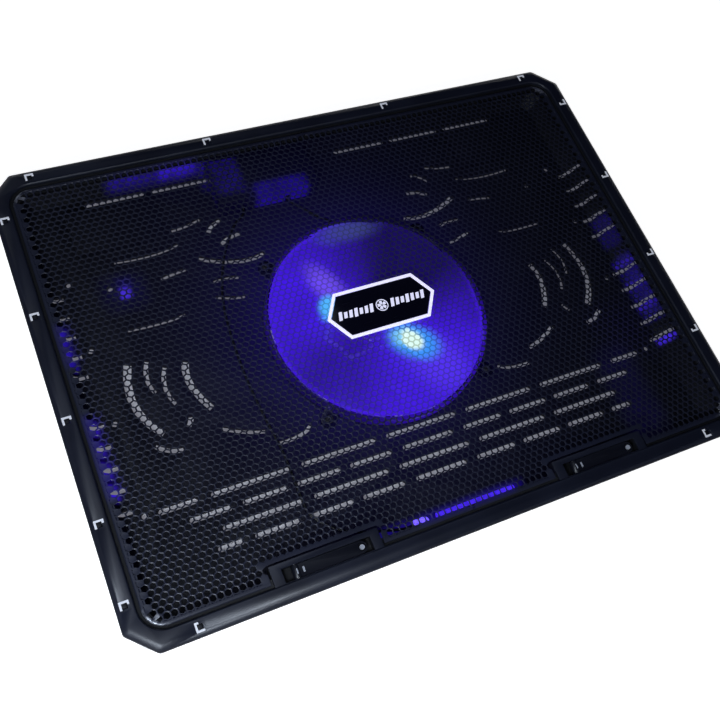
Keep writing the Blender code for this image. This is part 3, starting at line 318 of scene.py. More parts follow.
@dataclass(frozen=True)
class Spot:
    """A soft oval of light: its middle, the turn of its long axis, and half its length and width."""

    centre: Place
    turn: float
    size: Place
    share: float
    colour: RGB
    full: float = 1.0
    faint: float = 0.04

    def cover(self, x: Field, y: Field) -> Field:
        """Returns the spot's share at each place, given in millimetres."""
        c, s = direction(self.turn)
        dx, dy = x - self.centre[0], y - self.centre[1]
        along, across = (dx * c + dy * s) / self.size[0], (dy * c - dx * s) / self.size[1]
        return along.length(across).ramp(1.0, 0.0).ramp(self.faint, self.full) * self.share


@dataclass(frozen=True)
class FanLight:
    """The light of two diodes beside the hub, spread through the fan's blue plastic."""

    lobes: tuple[Lobe, ...] = (Lobe(150, 0.95, 1.5), Lobe(292, 1.2, 1.3))
    spots: tuple[Spot, ...] = (
        Spot((4, 56), 0, (34, 13), 0.45, (0.07, 0.1, 0.24)),
        Spot((-21, 24), 112, (30, 14), 0.45, (0.26, 0.14, 1.0)),
        Spot((22, -38), -58, (36, 28), 0.4, (0.13, 0.06, 1.0)),
        Spot((13, -22), -35, (24, 16), 0.95, (0.04, 0.31, 0.9), 0.7),
        Spot((-25, 12), 60, (13, 10), 0.95, (0.08, 0.5, 1.0), 0.8),
        Spot((9.5, -18.5), -20, (15, 9.5), 0.6, (0.3, 0.8, 0.85), 0.8),
        Spot((12.5, -20.5), -52, (11, 7.5), 1.0, (0.74, 1.0, 0.82), 0.6),
    )
    base: float = 0.05
    violet: RGB = (0.047, 0.008, 0.63)
    dark: RGB = (0.003, 0.002, 0.026)
    edge: float = 61.0
    rim: float = 0.6
    ceiling: float = 1.3
    strength: float = 1.0
    shift: float = 0.0
    scale: float = 1.0

    def colour(self, surface: Surface) -> Field:
        """Returns the light: two lobes, hot spots over the diodes and a brighter rim."""
        x, y = [(part / MM + self.shift) / self.scale for part in (surface.x, surface.y)]
        radius = x.length(y).most(0.1)
        level: Field | float = self.base
        for lobe in self.lobes:
            c, s = direction(lobe.turn)
            level = ((x * c + y * s) / radius).most(0.0) ** lobe.tightness * lobe.level + level
        streak = surface.noise(16.0, 2.0, (1.0, 1.0, 0.1)).ramp(0.2, 0.8) * 0.3 + 0.82
        rim = radius.ramp(self.edge - 2.4, self.edge - 0.4) * self.rim + 1.0
        light = surface.blend((level * streak * rim).least(self.ceiling), self.dark, self.violet)
        for spot in self.spots:
            light = surface.blend(spot.cover(x, y), light, spot.colour)
        inside = radius.ramp(self.edge + 1.0, self.edge + 0.5) * self.strength
        return surface.blend(inside, BLACK, light)


@dataclass(frozen=True)
class Halo:
    """Light from the fan that spreads round it and fades outwards, in millimetres."""

    radius: float
    reach: float
    level: float
    colour: RGB = (0.03, 0.01, 0.42)
    turn: float = 160.0
    lean: float = 0.7

    def light(self, surface: Surface) -> Field:
        """Returns the colour of the light at each place."""
        x, y = surface.x / MM, surface.y / MM
        radius = x.length(y).most(1.0)
        c, s = direction(self.turn)
        toward = ((x * c + y * s) / radius) * (self.lean / 2) + (1 - self.lean / 2)
        outside = (radius - self.radius) / self.reach
        fade = (outside.most(0.0) * -1.0).exponential() * radius.ramp(self.radius - 0.5, self.radius)
        return surface.blend(fade * toward * self.level, BLACK, self.colour)


@dataclass(frozen=True)
class Finish:
    """What every finish has: a name, a colour and a roughness."""

    name: str
    colour: RGB
    roughness: float

    def material(self) -> bpy.types.Material:
        """Returns the finish's material, made on first use."""
        made = bpy.data.materials.get(self.name)
        if made is None:
            surface = Surface(self.name)
            surface.set(Base_Color=self.colour, Roughness=self.roughness)
            self.dress(surface)
            made = surface.material
        return made

    def dress(self, surface: Surface) -> None:
        """Adds the finish's own detail to its surface."""


@dataclass(frozen=True)
class MouldedPlastic(Finish):
    """Spark-textured plastic with faint handling marks, and any light that falls on it."""

    grain: float = 0.3
    depth: float = 0.012
    scuffs: float = 0.35
    glows: tuple[Glow, ...] = ()
    halo: Halo | None = None
    shaded: Place | None = None
    shade: float = 0.12
    lining: tuple[Place, ...] = ()

    def inner_skin(self, surface: Surface) -> Field:
        """Returns 1 on the inner skin of a shell with leaning walls and 0 on its outer skin."""
        z = surface.z / MM
        inner = z.ramp(FLOOR_LEVEL - 0.5, FLOOR_LEVEL - 0.1)
        for part, (edge, lean) in zip((surface.x, surface.y), self.lining):
            depth = abs(part) / MM - (z - FLOOR_LEVEL).most(0.0) * lean
            inner = inner * depth.ramp(edge + 0.25, edge + 0.05)
        return inner

    def dress(self, surface: Surface) -> None:
        """Grain, mottling, rubbed streaks, painted shade in low places and lit patches."""
        grain = surface.noise(self.grain, 3.0)
        mottle = surface.noise(28.0, 3.0, offset=3.1)
        streaks = surface.noise(1.6, 4.0, (0.05, 1.0, 1.0), offset=7.7).ramp(0.62, 0.78)
        rubbed = streaks * surface.noise(45.0, 2.0, offset=1.3).ramp(0.5, 0.7) * self.scuffs
        colour = surface.blend(mottle.ramp(0.3, 0.7), tint(self.colour, 0.72), self.colour)
        colour = surface.blend(rubbed, colour, tint(self.colour, 1.9, 0.012))
        roughness = self.roughness + (mottle - 0.5) * 0.12 + (grain - 0.5) * 0.1 - rubbed * 0.12
        # Painted shade: below the given heights the colour darkens, where the ledge under the panel lies in shade;
        # it also gets rougher.
        if self.shaded:
            low = surface.z.ramp(self.shaded[1] * MM, self.shaded[0] * MM)
            colour = surface.blend(low, colour, tint(self.colour, self.shade))
            roughness = roughness + low * 0.3
        surface.set(Base_Color=colour, Roughness=roughness, Normal=surface.relief(grain, self.depth))
        if self.glows or self.halo:
            light: Field | RGB = self.halo.light(surface) if self.halo else BLACK
            for glow in self.glows:
                uneven = glow.share(surface) * (surface.noise(6.0, 2.0).ramp(0.2, 0.75) * 0.6 + 0.4)
                light = surface.blend(uneven, light, glow.colour)
            if self.lining:
                light = surface.blend(self.inner_skin(surface), BLACK, light)
            surface.set(Emission_Color=light, Emission_Strength=1.0)


@dataclass(frozen=True)
class PaintedSteel(Finish):
    """Baked paint on thin steel: fine orange peel, metal flecks, and bare metal where the edge rubs."""

    flake: float = 0.16
    bare: RGB = (0.55, 0.56, 0.6)
    half: Place = (0.0, 0.0)
    rolled: Place = (1.5, 0.7)
    corner: Place = (12.0, 4.0)
    fan: FanLight | None = None
    halo: Halo | None = None
    glows: tuple[Glow, ...] = ()

    def dress(self, surface: Surface) -> None:
        """Flecked paint, worn through along the rolled edge near the corners."""
        peel = surface.noise(0.7, 2.0)
        flake = surface.noise(self.flake, 1.0, offset=2.2).ramp(0.62, 0.74)
        mottle = surface.noise(35.0, 3.0, offset=5.0).ramp(0.3, 0.72)
        shade = surface.blend(mottle, tint(self.colour, 0.75), self.colour)
        shade = surface.blend(flake * 0.5, shade, tint(self.colour, 2.2, 0.02))
        metallic: Field | float = flake * 0.5
        roughness = self.roughness + (peel - 0.5) * 0.16
        if self.half[0]:
            across, along, corner_x, corner_y = [
                abs(part).ramp((half - start) * MM, (half - end) * MM)
                for start, end in (self.rolled, self.corner)
                for part, half in zip((surface.x, surface.y), self.half)
            ]
            rubbed = surface.noise(2.5, 3.0, offset=9.0).ramp(0.35, 0.6)
            edge = (across * corner_y).most(along * corner_x).most((corner_x * corner_y).ramp(0.55, 0.8))
            bare = edge * rubbed
            shade = surface.blend(bare, shade, self.bare)
            metallic = metallic.most(bare)
            roughness = roughness - bare * 0.12
        normal = surface.relief(peel, 0.01)
        surface.set(Base_Color=shade, Metallic=metallic, Roughness=roughness, Normal=normal)
        if self.fan and self.halo:
            light = surface.blend(1.0, self.fan.colour(surface), self.halo.light(surface), "ADD")
            for glow in self.glows:
                light = surface.blend(glow.share(surface), light, glow.colour)
            surface.set(Emission_Color=light, Emission_Strength=1.0)


@dataclass(frozen=True)
class GlossPlastic(Finish):
    """Smooth moulded plastic with a clear coat, a little dust and hairline scratches."""

    coat: float = 0.5
    painted_glow: RGB | None = None

    def dress(self, surface: Surface) -> None:
        """Dust specks and hairlines under a clear coat, and an even painted glow that brightens the finish as if
        lit.
        """
        dust = surface.noise(0.5, 2.0).ramp(0.7, 0.8)
        hair = surface.noise(0.4, 2.0, (0.03, 1.0, 1.0), offset=4.0).ramp(0.66, 0.76)
        wave = surface.noise(9.0, 1.0, offset=2.0)
        dusty = tuple(min(1.0, part * 0.9 + 0.05) for part in self.colour)
        colour = surface.blend(dust * 0.25, self.colour, dusty)
        roughness = self.roughness + dust * 0.2 + hair * 0.12
        normal = surface.relief(wave, 0.02, surface.relief(hair, -0.004))
        surface.set(Base_Color=colour, Roughness=roughness, Normal=normal, Coat_Weight=self.coat)
        # Painted light: an even glow over the whole part that brightens it.
        if self.painted_glow:
            surface.set(Emission_Color=self.painted_glow, Emission_Strength=1.0)


@dataclass(frozen=True)
class Metal(Finish):
    """Drawn, pressed or turned metal with a lay of fine lines along one axis."""

    lay: Point = (0.04, 1.0, 1.0)
    metallic: float = 1.0
    tarnish: RGB = (0.2, 0.19, 0.18)

    def dress(self, surface: Surface) -> None:
        """Fine lines along the lay and slight tarnish."""
        lines = surface.noise(0.12, 3.0, self.lay)
        spots = surface.noise(4.0, 3.0, offset=6.0).ramp(0.5, 0.8)
        colour = surface.blend(spots * 0.4, self.colour, self.tarnish)
        roughness = self.roughness + (lines - 0.5) * 0.25 + spots * 0.1
        normal = surface.relief(lines, 0.004)
        surface.set(Base_Color=colour, Metallic=self.metallic, Roughness=roughness, Normal=normal)


@dataclass(frozen=True)
class Rubber(Finish):
    """Matt rubber with a fine bloom and pressed dust."""

    def dress(self, surface: Surface) -> None:
        """Bloom, dust and a soft grain."""
        grain = surface.noise(0.35, 4.0)
        bloom = surface.noise(3.0, 3.0, offset=4.0).ramp(0.4, 0.75)
        colour = surface.blend(bloom * 0.5, self.colour, tint(self.colour, 1.0, 0.03))
        roughness = self.roughness + (grain - 0.5) * 0.12
        surface.set(Base_Color=colour, Roughness=roughness, Normal=surface.relief(grain, 0.03))


@dataclass(frozen=True)
class CircuitBoard(Finish):
    """Solder mask over copper tracks, with tinned pads."""

    tracks: RGB = (0.05, 0.24, 0.1)
    pads: RGB = (0.62, 0.62, 0.6)
    track_scale: float = 90.0
    pad_scale: float = 380.0

    def dress(self, surface: Surface) -> None:
        """Tracks at right angles, and a scatter of pads."""
        brick = surface.add(
            "ShaderNodeTexBrick",
            {"offset": 0.5},
            {"Vector": surface.place, "Scale": self.track_scale, "Mortar Size": 0.03, "Mortar Smooth": 0.2},
            output="Fac",
        )
        places = {"Vector": surface.place, "Scale": self.pad_scale, "Randomness": 0.8}
        dots = surface.add("ShaderNodeTexVoronoi", None, places)
        pads = dots.ramp(0.26, 0.2) * surface.noise(5.0, 1.0).ramp(0.5, 0.55)
        colour = surface.blend(pads, surface.blend(brick, self.colour, self.tracks), self.pads)
        roughness, normal = self.roughness - pads * 0.15, surface.relief(brick.most(pads), 0.03)
        surface.set(Base_Color=colour, Metallic=pads, Roughness=roughness, Normal=normal)


@dataclass(frozen=True)
class Winding(Finish):
    """Enamelled wire laid side by side."""

    pitch: float = 0.35

    def dress(self, surface: Surface) -> None:
        """Round ridges, one to each turn of wire."""
        turn = surface.add(
            "ShaderNodeTexWave",
            {"wave_type": "BANDS", "bands_direction": "Z"},
            {"Vector": surface.place, "Scale": 1 / (self.pitch * MM) / 20 * math.tau, "Distortion": 0.2},
            output="Fac",
        )
        # Painted shade: the grooves between turns are darker.
        colour = surface.blend(turn, tint(self.colour, 0.4), self.colour)
        normal = surface.relief(turn, 0.12)
        surface.set(Base_Color=colour, Metallic=0.85, Roughness=self.roughness, Normal=normal)


@dataclass(frozen=True)
class Diode(Finish):
    """A clear lens with its light on."""

    light: RGB = (0.35, 0.62, 1.0)
    strength: float = 6.0

    def dress(self, surface: Surface) -> None:
        """An uneven bright core behind the lens."""
        core = surface.noise(1.2, 1.0).ramp(0.3, 0.6)
        light = surface.blend(core, tint(self.light, 0.5), self.light)
        surface.set(Emission_Color=light, Emission_Strength=self.strength, Coat_Weight=0.6)


@dataclass(frozen=True)
class LitFan(Finish):
    """Translucent blue moulding with the fan's light in it."""

    light: FanLight = FanLight()

    def dress(self, surface: Surface) -> None:
        """The fan's light under a slightly hazy skin."""
        haze = surface.noise(0.5, 2.0)
        surface.set(
            Emission_Color=self.light.colour(surface),
            Emission_Strength=1.0,
            Roughness=self.roughness + (haze - 0.5) * 0.1,
            Normal=surface.relief(haze, 0.006),
            Coat_Weight=0.3,
        )


# ---------------------------------------------------------------- shapes


def solid_from(name: str, mesh: bpy.types.Mesh, material: bpy.types.Material) -> bpy.types.Object:
    """Links a new object at the origin.

    Args:
        name: The piece's name.
        mesh: Its mesh, already in place.
        material: Its finish.

    Returns:
        The new object.
    """
    piece = bpy.data.objects.new(name, mesh)
    bpy.context.scene.collection.objects.link(piece)
    mesh.materials.clear()
    mesh.materials.append(material)
    return piece


def settled(piece: bpy.types.Object) -> bpy.types.Object:
    """Turns a piece and its modifiers into one plain mesh.

    Args:
        piece: An object with live modifiers.

    Returns:
        The same object, with no modifiers left.
    """
    bpy.context.view_layer.update()
    graph = bpy.context.evaluated_depsgraph_get()
    evaluated = piece.evaluated_get(graph)
    mesh = bpy.data.meshes.new_from_object(evaluated, preserve_all_data_layers=True, depsgraph=graph)
    piece.modifiers.clear()
    spent = piece.data
    piece.data = mesh
    if spent.users == 0:
        bpy.data.meshes.remove(spent)
    mesh.name = piece.name
    return piece


def from_bmesh(name: str, shape: bmesh.types.BMesh, material: bpy.types.Material) -> bpy.types.Object:
    """Makes a piece from a shape in millimetres, with its faces turned outwards.

    Args:
        name: The piece's name.
        shape: Its shape, which is freed.
        material: Its finish.

    Returns:
        The new piece.
    """
    bmesh.ops.remove_doubles(shape, verts=shape.verts, dist=1e-4)
    bmesh.ops.recalc_face_normals(shape, faces=shape.faces)
    shape.transform(Matrix.Scale(MM, 4))
    mesh = bpy.data.meshes.new(name)
    shape.to_mesh(mesh)
    shape.free()
    return solid_from(name, mesh, material)


def creased(piece: bpy.types.Object, angle: float) -> None:
    """Shades a piece smooth except across edges sharper than an angle in degrees."""
    piece.data.shade_smooth()
    piece.data.set_sharp_from_angle(angle=math.radians(angle))


def rounded(piece: bpy.types.Object, radius: float) -> bpy.types.Object:
    """Rounds a piece's sharp edges.

    Args:
        piece: A piece with a closed mesh.
        radius: Width of the rounding, in millimetres.

    Returns:
        The piece, as a plain mesh.
    """
    bevel = piece.modifiers.new("Edges", "BEVEL")
    bevel.width = radius * MM
    bevel.segments = BEVEL_SEGMENTS
    bevel.limit_method = "ANGLE"
    bevel.angle_limit = math.radians(BEVEL_ANGLE)
    bevel.harden_normals = True
    piece.data.shade_smooth()
    return settled(piece)


def bridge(shape: bmesh.types.BMesh, rings: Sequence[Sequence[bmesh.types.BMVert]]) -> None:
    """Joins each ring of points to the next with a band of faces.

    Args:
        shape: Takes the faces.
        rings: Rings of as many points each, in order.
    """
    for lower, upper in zip(rings, rings[1:]):
        for i in range(len(lower)):
            j = (i + 1) % len(lower)
            shape.faces.new((lower[i], lower[j], upper[j], upper[i]))


def prism(shape: bmesh.types.BMesh, outline: Sequence[Place], low: float, high: float) -> None:
    """Adds an upright prism to a shape.

    Args:
        shape: Takes the prism.
        outline: Its points, in order.
        low: Height of its lower face.
        high: Height of its upper face.
    """
    rows = [[shape.verts.new((x, y, z)) for x, y in outline] for z in (low, high)]
    for row in rows:
        shape.faces.new(row)
    bridge(shape, rows)


def circle(radius: float, sides: int, centre: Place = (0.0, 0.0)) -> list[Place]:
    """Returns the points of a circle."""
    turns = [math.tau * step / sides for step in range(sides)]
    return [(centre[0] + radius * math.cos(t), centre[1] + radius * math.sin(t)) for t in turns]


def turned(shape: bmesh.types.BMesh, profile: Sequence[Place], sides: int, centre: Place = (0.0, 0.0)) -> None:
    """Adds a body turned about an upright axis.

    Args:
        shape: Takes the body.
        profile: Radius and height of each point, from one end face to the other.
        sides: Faces round it.
        centre: Where its axis stands.
    """
    rings = [[shape.verts.new((x, y, z)) for x, y in circle(radius, sides, centre)] for radius, z in profile]
    shape.faces.new(rings[0])
    shape.faces.new(rings[-1])
    bridge(shape, rings)


class GeometryTree(NodeTree):
    """A geometry-node tree with named inputs, which ends in Realize Instances and Set Material."""

    def __init__(self, name: str, **inputs: float | int) -> None:
        """Starts a tree.

        Args:
            name: The tree's name.
            inputs: Its sizes, by name; whole numbers make whole-number sockets.
        """
        super().__init__(bpy.data.node_groups.new(name, "GeometryNodeTree"))
        self.values = inputs
        for label, value in inputs.items():
            kind = "NodeSocketInt" if isinstance(value, int) else "NodeSocketFloat"
            self.tree.interface.new_socket(name=label, in_out="INPUT", socket_type=kind)
        self.tree.interface.new_socket(name="Geometry", in_out="OUTPUT", socket_type="NodeSocketGeometry")
        self.group = self.tree.nodes.new("NodeGroupInput")

    def __getitem__(self, label: str) -> Field:
        """Returns one of the tree's own inputs."""
        return Field(self, self.group.outputs[label])

    def position(self) -> Field:
        """Returns each point's place."""
        return self.add("GeometryNodeInputPosition")

    def moved(self, geometry: Field, **inputs: Any) -> Field:
        """Returns geometry whose points have a new Position or an Offset."""
        return self.add("GeometryNodeSetPosition", None, {"Geometry": geometry, **inputs})

    def without(self, geometry: Field, selection: Field) -> Field:
        """Returns geometry without the chosen faces."""
        chosen = {"Geometry": geometry, "Selection": selection}
        return self.add("GeometryNodeDeleteGeometry", {"domain": "FACE"}, chosen)

    def copies(self, points: Field, instance: Field, **inputs: Any) -> Field:
        """Returns a copy of instance on each point."""
        return self.add("GeometryNodeInstanceOnPoints", None, {"Points": points, "Instance": instance, **inputs})

    def grid(self, length: Field, depth: Field) -> Field:
        """Returns a flat grid of Columns by Rows points round the origin."""
        counts = {"Vertices X": self["Columns"], "Vertices Y": self["Rows"]}
        return self.add("GeometryNodeMeshGrid", None, {"Size X": length, "Size Y": depth, **counts})

    def row_of_boxes(self, start: Field, size: Field, **inputs: Any) -> Field:
        """Repeats a box along X, Count times and Step apart.

        Args:
            start: Middle of the first box.
            size: Its three sides.
            inputs: The copies' other inputs, such as Scale.

        Returns:
            The row.
        """
        places = {"Count": self["Count"], "Start Location": start, "Offset": self.vector(self["Step"], 0.0, 0.0)}
        line = self.add("GeometryNodeMeshLine", None, places)
        return self.copies(line, self.add("GeometryNodeMeshCube", None, {"Size": size}), **inputs)

    def made(self, name: str, geometry: Field, material: bpy.types.Material) -> bpy.types.Object:
        """Ends the tree and runs it.

        Args:
            name: The piece's name.
            geometry: What the tree has built.
            material: Its finish.

        Returns:
            The piece, with the tree still live on it.
        """
        plain = self.add("GeometryNodeRealizeInstances", None, {"Geometry": geometry})
        dressed = self.add("GeometryNodeSetMaterial", None, {"Geometry": plain, "Material": material})
        end = self.tree.nodes.new("NodeGroupOutput")
        self.tree.links.new(dressed.socket, end.inputs["Geometry"])
        piece = solid_from(name, bpy.data.meshes.new(name), material)
        modifier = piece.modifiers.new("Nodes", "NODES")
        modifier.node_group = self.tree
        for item in self.tree.interface.items_tree:
            if item.in_out == "INPUT":
                modifier[item.identifier] = self.values[item.name]
        return piece


# ---------------------------------------------------------------- the pad's finishes


FLOOR_HALO = Halo(64.2, 24.0, 0.14)
PANEL_HALO = Halo(60.0, 26.0, 0.05)
BLUE = (0.024, 0.006, 0.48)
FAINT_BLUE = (0.008, 0.0025, 0.16)


def wall_glows(side: int, places: Iterable[Place], colour: RGB) -> list[Glow]:
    """Lights patches of one leaning side wall.

    Args:
        side: -1 for the left wall and 1 for the right.
        places: Low and high Y of each patch.
        colour: The light's colour.

    Returns:
        One glow for each patch.
    """
    across = sorted((side * 162.0, side * 174.0))
    return [Glow((across[0], low, 5.0), (across[1], high, 19.0), 2.0, colour) for low, high in places]


TRAY_GLOWS = (
    Glow((-118, 119, 6.5), (-66, 127, 17), 4.0, (0.011, 0.003, 0.22)),
    Glow((-88, 121, 6.5), (-66, 127, 17), 2.6, BLUE),
    Glow((-64, 108, 5), (-58, 127, 17), 4.0, FAINT_BLUE),
    Glow((-129.5, 52.5, 4), (-123.5, 59.5, 7), 1.6, (0.09, 0.04, 1.0)),
    Glow((-137, 48, 4), (-117, 66, 7), 7.0, (0.006, 0.003, 0.1)),
    Glow((-95, -119, 4), (40, -112.5, 9), 2.5, FAINT_BLUE),
    Glow((-10, -122, 5), (33, -115, 12), 2.0, (0.03, 0.008, 0.42)),
    Glow((118, -112, 4), (140, -60, 7), 9.0, (0.006, 0.003, 0.07)),
    *wall_glows(1, ((-12, -9), (-28, -24), (-43, -38), (-67, -63)), (0.06, 0.022, 0.8)),
    *wall_glows(1, ((-52, -6),), (0.006, 0.002, 0.12)),
    *wall_glows(1, ((2, 24),), (0.004, 0.0015, 0.07)),
    *wall_glows(-1, ((-19, -11), (-31, -23), (-43, -34), (-55, -46)), (0.04, 0.012, 0.6)),
    *wall_glows(-1, ((18, 44),), (0.02, 0.008, 0.34)),
)
COVER_GLOWS = (
    Glow((-39, 85, 5), (-7, 98.5, 18), 2.4, (0.011, 0.0025, 0.24)),
    Glow((-60, 96, 5), (-44, 121, 18), 3.5, (0.009, 0.003, 0.16)),
)
PANEL_GLOWS = (
    Glow((-118, 108, 20), (-68, 118, 24), 5.0, (0.008, 0.002, 0.085)),
    Glow((-90, 110, 20), (-68, 118, 24), 4.0, (0.012, 0.003, 0.16)),
    Glow((-44, 80, 20), (-12, 94, 24), 5.0, (0.006, 0.0015, 0.1)),
    Glow((-131, 49, 20), (-125, 55, 24), 3.0, (0.012, 0.004, 0.16)),
    Glow((-168, -58, 20), (-160, -14, 24), 3.0, (0.01, 0.003, 0.15)),
    Glow((-168, 14, 20), (-160, 38, 24), 3.0, (0.006, 0.002, 0.08)),
    Glow((154, -50, 20), (162, -8, 24), 4.0, (0.008, 0.003, 0.09)),
    Glow((152, -4, 20), (162, 18, 24), 4.0, (0.004, 0.0015, 0.04)),
    Glow((-30, -120, 20), (26, -115, 24), 2.5, (0.009, 0.003, 0.14)),
    Glow((116, -70, 20), (146, -40, 24), 14.0, (0.003, 0.001, 0.03)),
)


class Finishes(Enum):
    """Every finish on the pad."""

    # The frame's ledge below the panel is darkened with painted shade.
    CASE = MouldedPlastic(
        "case_moulding", (0.014, 0.0165, 0.03), 0.38, grain=0.28, depth=0.008, shaded=(22.3, 24.4)
    )
    TRAY = MouldedPlastic(
        "tray_moulding",
        (0.0022, 0.0025, 0.006),
        0.6,
        grain=0.36,
        glows=TRAY_GLOWS,
        halo=FLOOR_HALO,
        lining=((163.75, 0.825), (120.0, 0.536)),
    )
    COVER = MouldedPlastic(
        "cover_moulding", (0.005, 0.0055, 0.011), 0.4, grain=0.3, glows=COVER_GLOWS, halo=FLOOR_HALO
    )
    STOP = MouldedPlastic("stop_moulding", (0.008, 0.009, 0.015), 0.38, grain=0.28, depth=0.008)
    PANEL = PaintedSteel(
        "panel_paint",
        (0.018, 0.021, 0.04),
        0.42,
        half=(169.4, 121.9),
        fan=FanLight(strength=0.6, shift=4.4, scale=0.976),
        halo=PANEL_HALO,
        glows=PANEL_GLOWS,
    )
    ROTOR = LitFan("rotor_blue", (0.03, 0.012, 0.22), 0.2)
    RING = LitFan(
        "ring_blue",
        (0.008, 0.006, 0.045),
        0.25,
        light=FanLight(
            lobes=(Lobe(150, 0.25, 1.5), Lobe(300, 0.9, 2.0)), spots=(), base=0.02, edge=63.0, strength=0.5
        ),
    )
    # The nameplate's rim and mark carry an even painted glow that brightens them.
    RIM = GlossPlastic("badge_rim_white", (0.9, 0.9, 0.95), 0.3, painted_glow=(0.62, 0.6, 0.8))
    BADGE = GlossPlastic("badge_face_black", (0.002, 0.002, 0.008), 0.22, coat=0.15)
    MARK = GlossPlastic("badge_mark_white", (0.85, 0.85, 0.92), 0.35, painted_glow=(0.5, 0.49, 0.66))
    # Painted highlight: the lips at the snap windows glow faintly, standing in for highlights on the windows'
    # edges.
    LIP = GlossPlastic("window_lip_grey", (0.7, 0.72, 0.76), 0.25, painted_glow=(0.24, 0.25, 0.28))
    # Painted highlight: the stop trim glows faintly, standing in for highlights at the stops' tips and hinges.
    TRIM = GlossPlastic("stop_trim_grey", (0.42, 0.44, 0.48), 0.25, painted_glow=(0.03, 0.033, 0.04))
    STEEL = Metal("bright_steel", (0.6, 0.6, 0.62), 0.26)
    PIN = Metal("pin_steel", (0.75, 0.75, 0.78), 0.2, (1.0, 0.05, 1.0))
    BLACK_SCREW = Metal("black_screw", (0.05, 0.05, 0.055), 0.34, metallic=0.85, tarnish=(0.1, 0.09, 0.08))
    GOLD = Metal("contact_gold", (0.85, 0.6, 0.22), 0.22, (1.0, 0.05, 1.0))
    CORE = Metal("stator_steel", (0.3, 0.3, 0.31), 0.45, (1.0, 1.0, 6.0))
    BRONZE = Metal("bearing_bronze", (0.55, 0.38, 0.16), 0.4)
    FERRITE = MouldedPlastic("magnet_ferrite", (0.07, 0.066, 0.062), 0.6, grain=0.4, depth=0.02)
    COIL = Winding("coil_copper", (0.65, 0.26, 0.1), 0.32)
    BOARD = CircuitBoard("board_green", (0.012, 0.1, 0.04), 0.4)
    NYLON = MouldedPlastic("connector_nylon", (0.72, 0.7, 0.64), 0.45, grain=0.5, depth=0.006)
    RUBBER = Rubber("foot_rubber", (0.018, 0.018, 0.02), 0.82)
    SLEEVE = MouldedPlastic("lead_sleeve", (0.012, 0.012, 0.014), 0.5, grain=0.5, depth=0.01)
    DIODE = Diode("diode_blue", (0.5, 0.7, 1.0), 0.15)
    BAR = Diode("light_bar_blue", (0.1, 0.06, 0.6), 0.2, light=(0.06, 0.02, 0.85), strength=1.1)
    ROUND_DIODE = Diode("front_diode_blue", (0.1, 0.1, 0.7), 0.15, light=(0.16, 0.1, 1.0), strength=1.6)

    def material(self) -> bpy.types.Material:
        """Returns this finish's material."""
        return self.value.material()


# ---------------------------------------------------------------- sub-assemblies


@dataclass
class Pad:
    """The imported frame, with the means to add pieces to it."""

    frame: dict[str, Any]

    def node(self, name: str) -> bpy.types.Object:
        """Returns a CAD node."""
        return self.frame["nodes"][name]

    def body_of(self, node: str) -> str:
        """Returns the name of the body that a node belongs to."""
        return self.node(node)["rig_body"]

    def add(self, piece: bpy.types.Object, slot: str, body: str = "pad", replaces: Sequence[str] = ()) -> None:
        """Puts a finished piece on a body.

        Args:
            piece: The piece, at the origin, with its place in its mesh.
            slot: The record's material slot for its finish; not used.
            body: The body that it moves with.
            replaces: The CAD nodes that it stands for.
        """
        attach(piece, body)
        if replaces:
            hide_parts(*replaces)
        LOG.info("%s: %d faces", piece.name, len(piece.data.polygons))

    def slot_of(self, node: str) -> str:
        """Returns the material slot that the record gives a node."""
        return next(row["material_slot"] for row in self.frame["record"]["subparts"] if row["node"] == node)


@dataclass
class Mouldings:
    """The moulded pieces, with their edges rounded as a mould leaves them."""

    pad: Pad
    flat: float = 0.6
    pieces: dict[str, tuple[Finishes, float]] = field(
        default_factory=lambda: {
            "top_frame": (Finishes.CASE, 0.3),
            "base_tray": (Finishes.TRAY, 0.22),
            "fan_frame": (Finishes.RING, 0.2),
            "usb_cover": (Finishes.COVER, 0.35),
            "left_stop": (Finishes.STOP, 0.35),
            "right_stop": (Finishes.STOP, 0.35),
            "left_leg": (Finishes.TRAY, 0.4),
            "right_leg": (Finishes.TRAY, 0.4),
            "left_leg_pad": (Finishes.RUBBER, 0.5),
            "right_leg_pad": (Finishes.RUBBER, 0.5),
            "power_switch_knob": (Finishes.CASE, 0.15),
            "power_switch_body": (Finishes.BADGE, 0.15),
            "nameplate_rim": (Finishes.RIM, 0.16),
            "nameplate_face": (Finishes.BADGE, 0.12),
            "fan_connector": (Finishes.NYLON, 0.2),
            "light_connector": (Finishes.NYLON, 0.2),
            "left_usb_tongue": (Finishes.NYLON, 0.12),
            "right_usb_tongue": (Finishes.NYLON, 0.12),
            "left_usb_shell": (Finishes.STEEL, 0.1),
            "right_usb_shell": (Finishes.STEEL, 0.1),
        }
    )

    def softened(self, node: str, finish: Finishes, radius: float) -> bpy.types.Object:
        """Copies a node, merges its loose triangles and rounds its edges.

        Args:
            node: The CAD node.
            finish: The copy's finish.
            radius: Width of the rounding, in millimetres.

        Returns:
            The new piece.
        """
        shape = bmesh.new()
        shape.from_mesh(self.pad.node(node).data)
        bmesh.ops.remove_doubles(shape, verts=shape.verts, dist=MERGE)
        limit = math.radians(self.flat)
        bmesh.ops.dissolve_limit(shape, angle_limit=limit, verts=shape.verts, edges=shape.edges, delimit={"NORMAL"})
        mesh = bpy.data.meshes.new(f"{node}_moulding")
        shape.to_mesh(mesh)
        shape.free()
        return rounded(solid_from(f"{node}_moulding", mesh, finish.material()), radius)

    def build(self) -> None:
        """Makes every moulded piece in place of its node."""
        for node, (finish, radius) in self.pieces.items():
            piece = self.softened(node, finish, radius)
            self.pad.add(piece, self.pad.slot_of(node), self.pad.body_of(node), (node,))


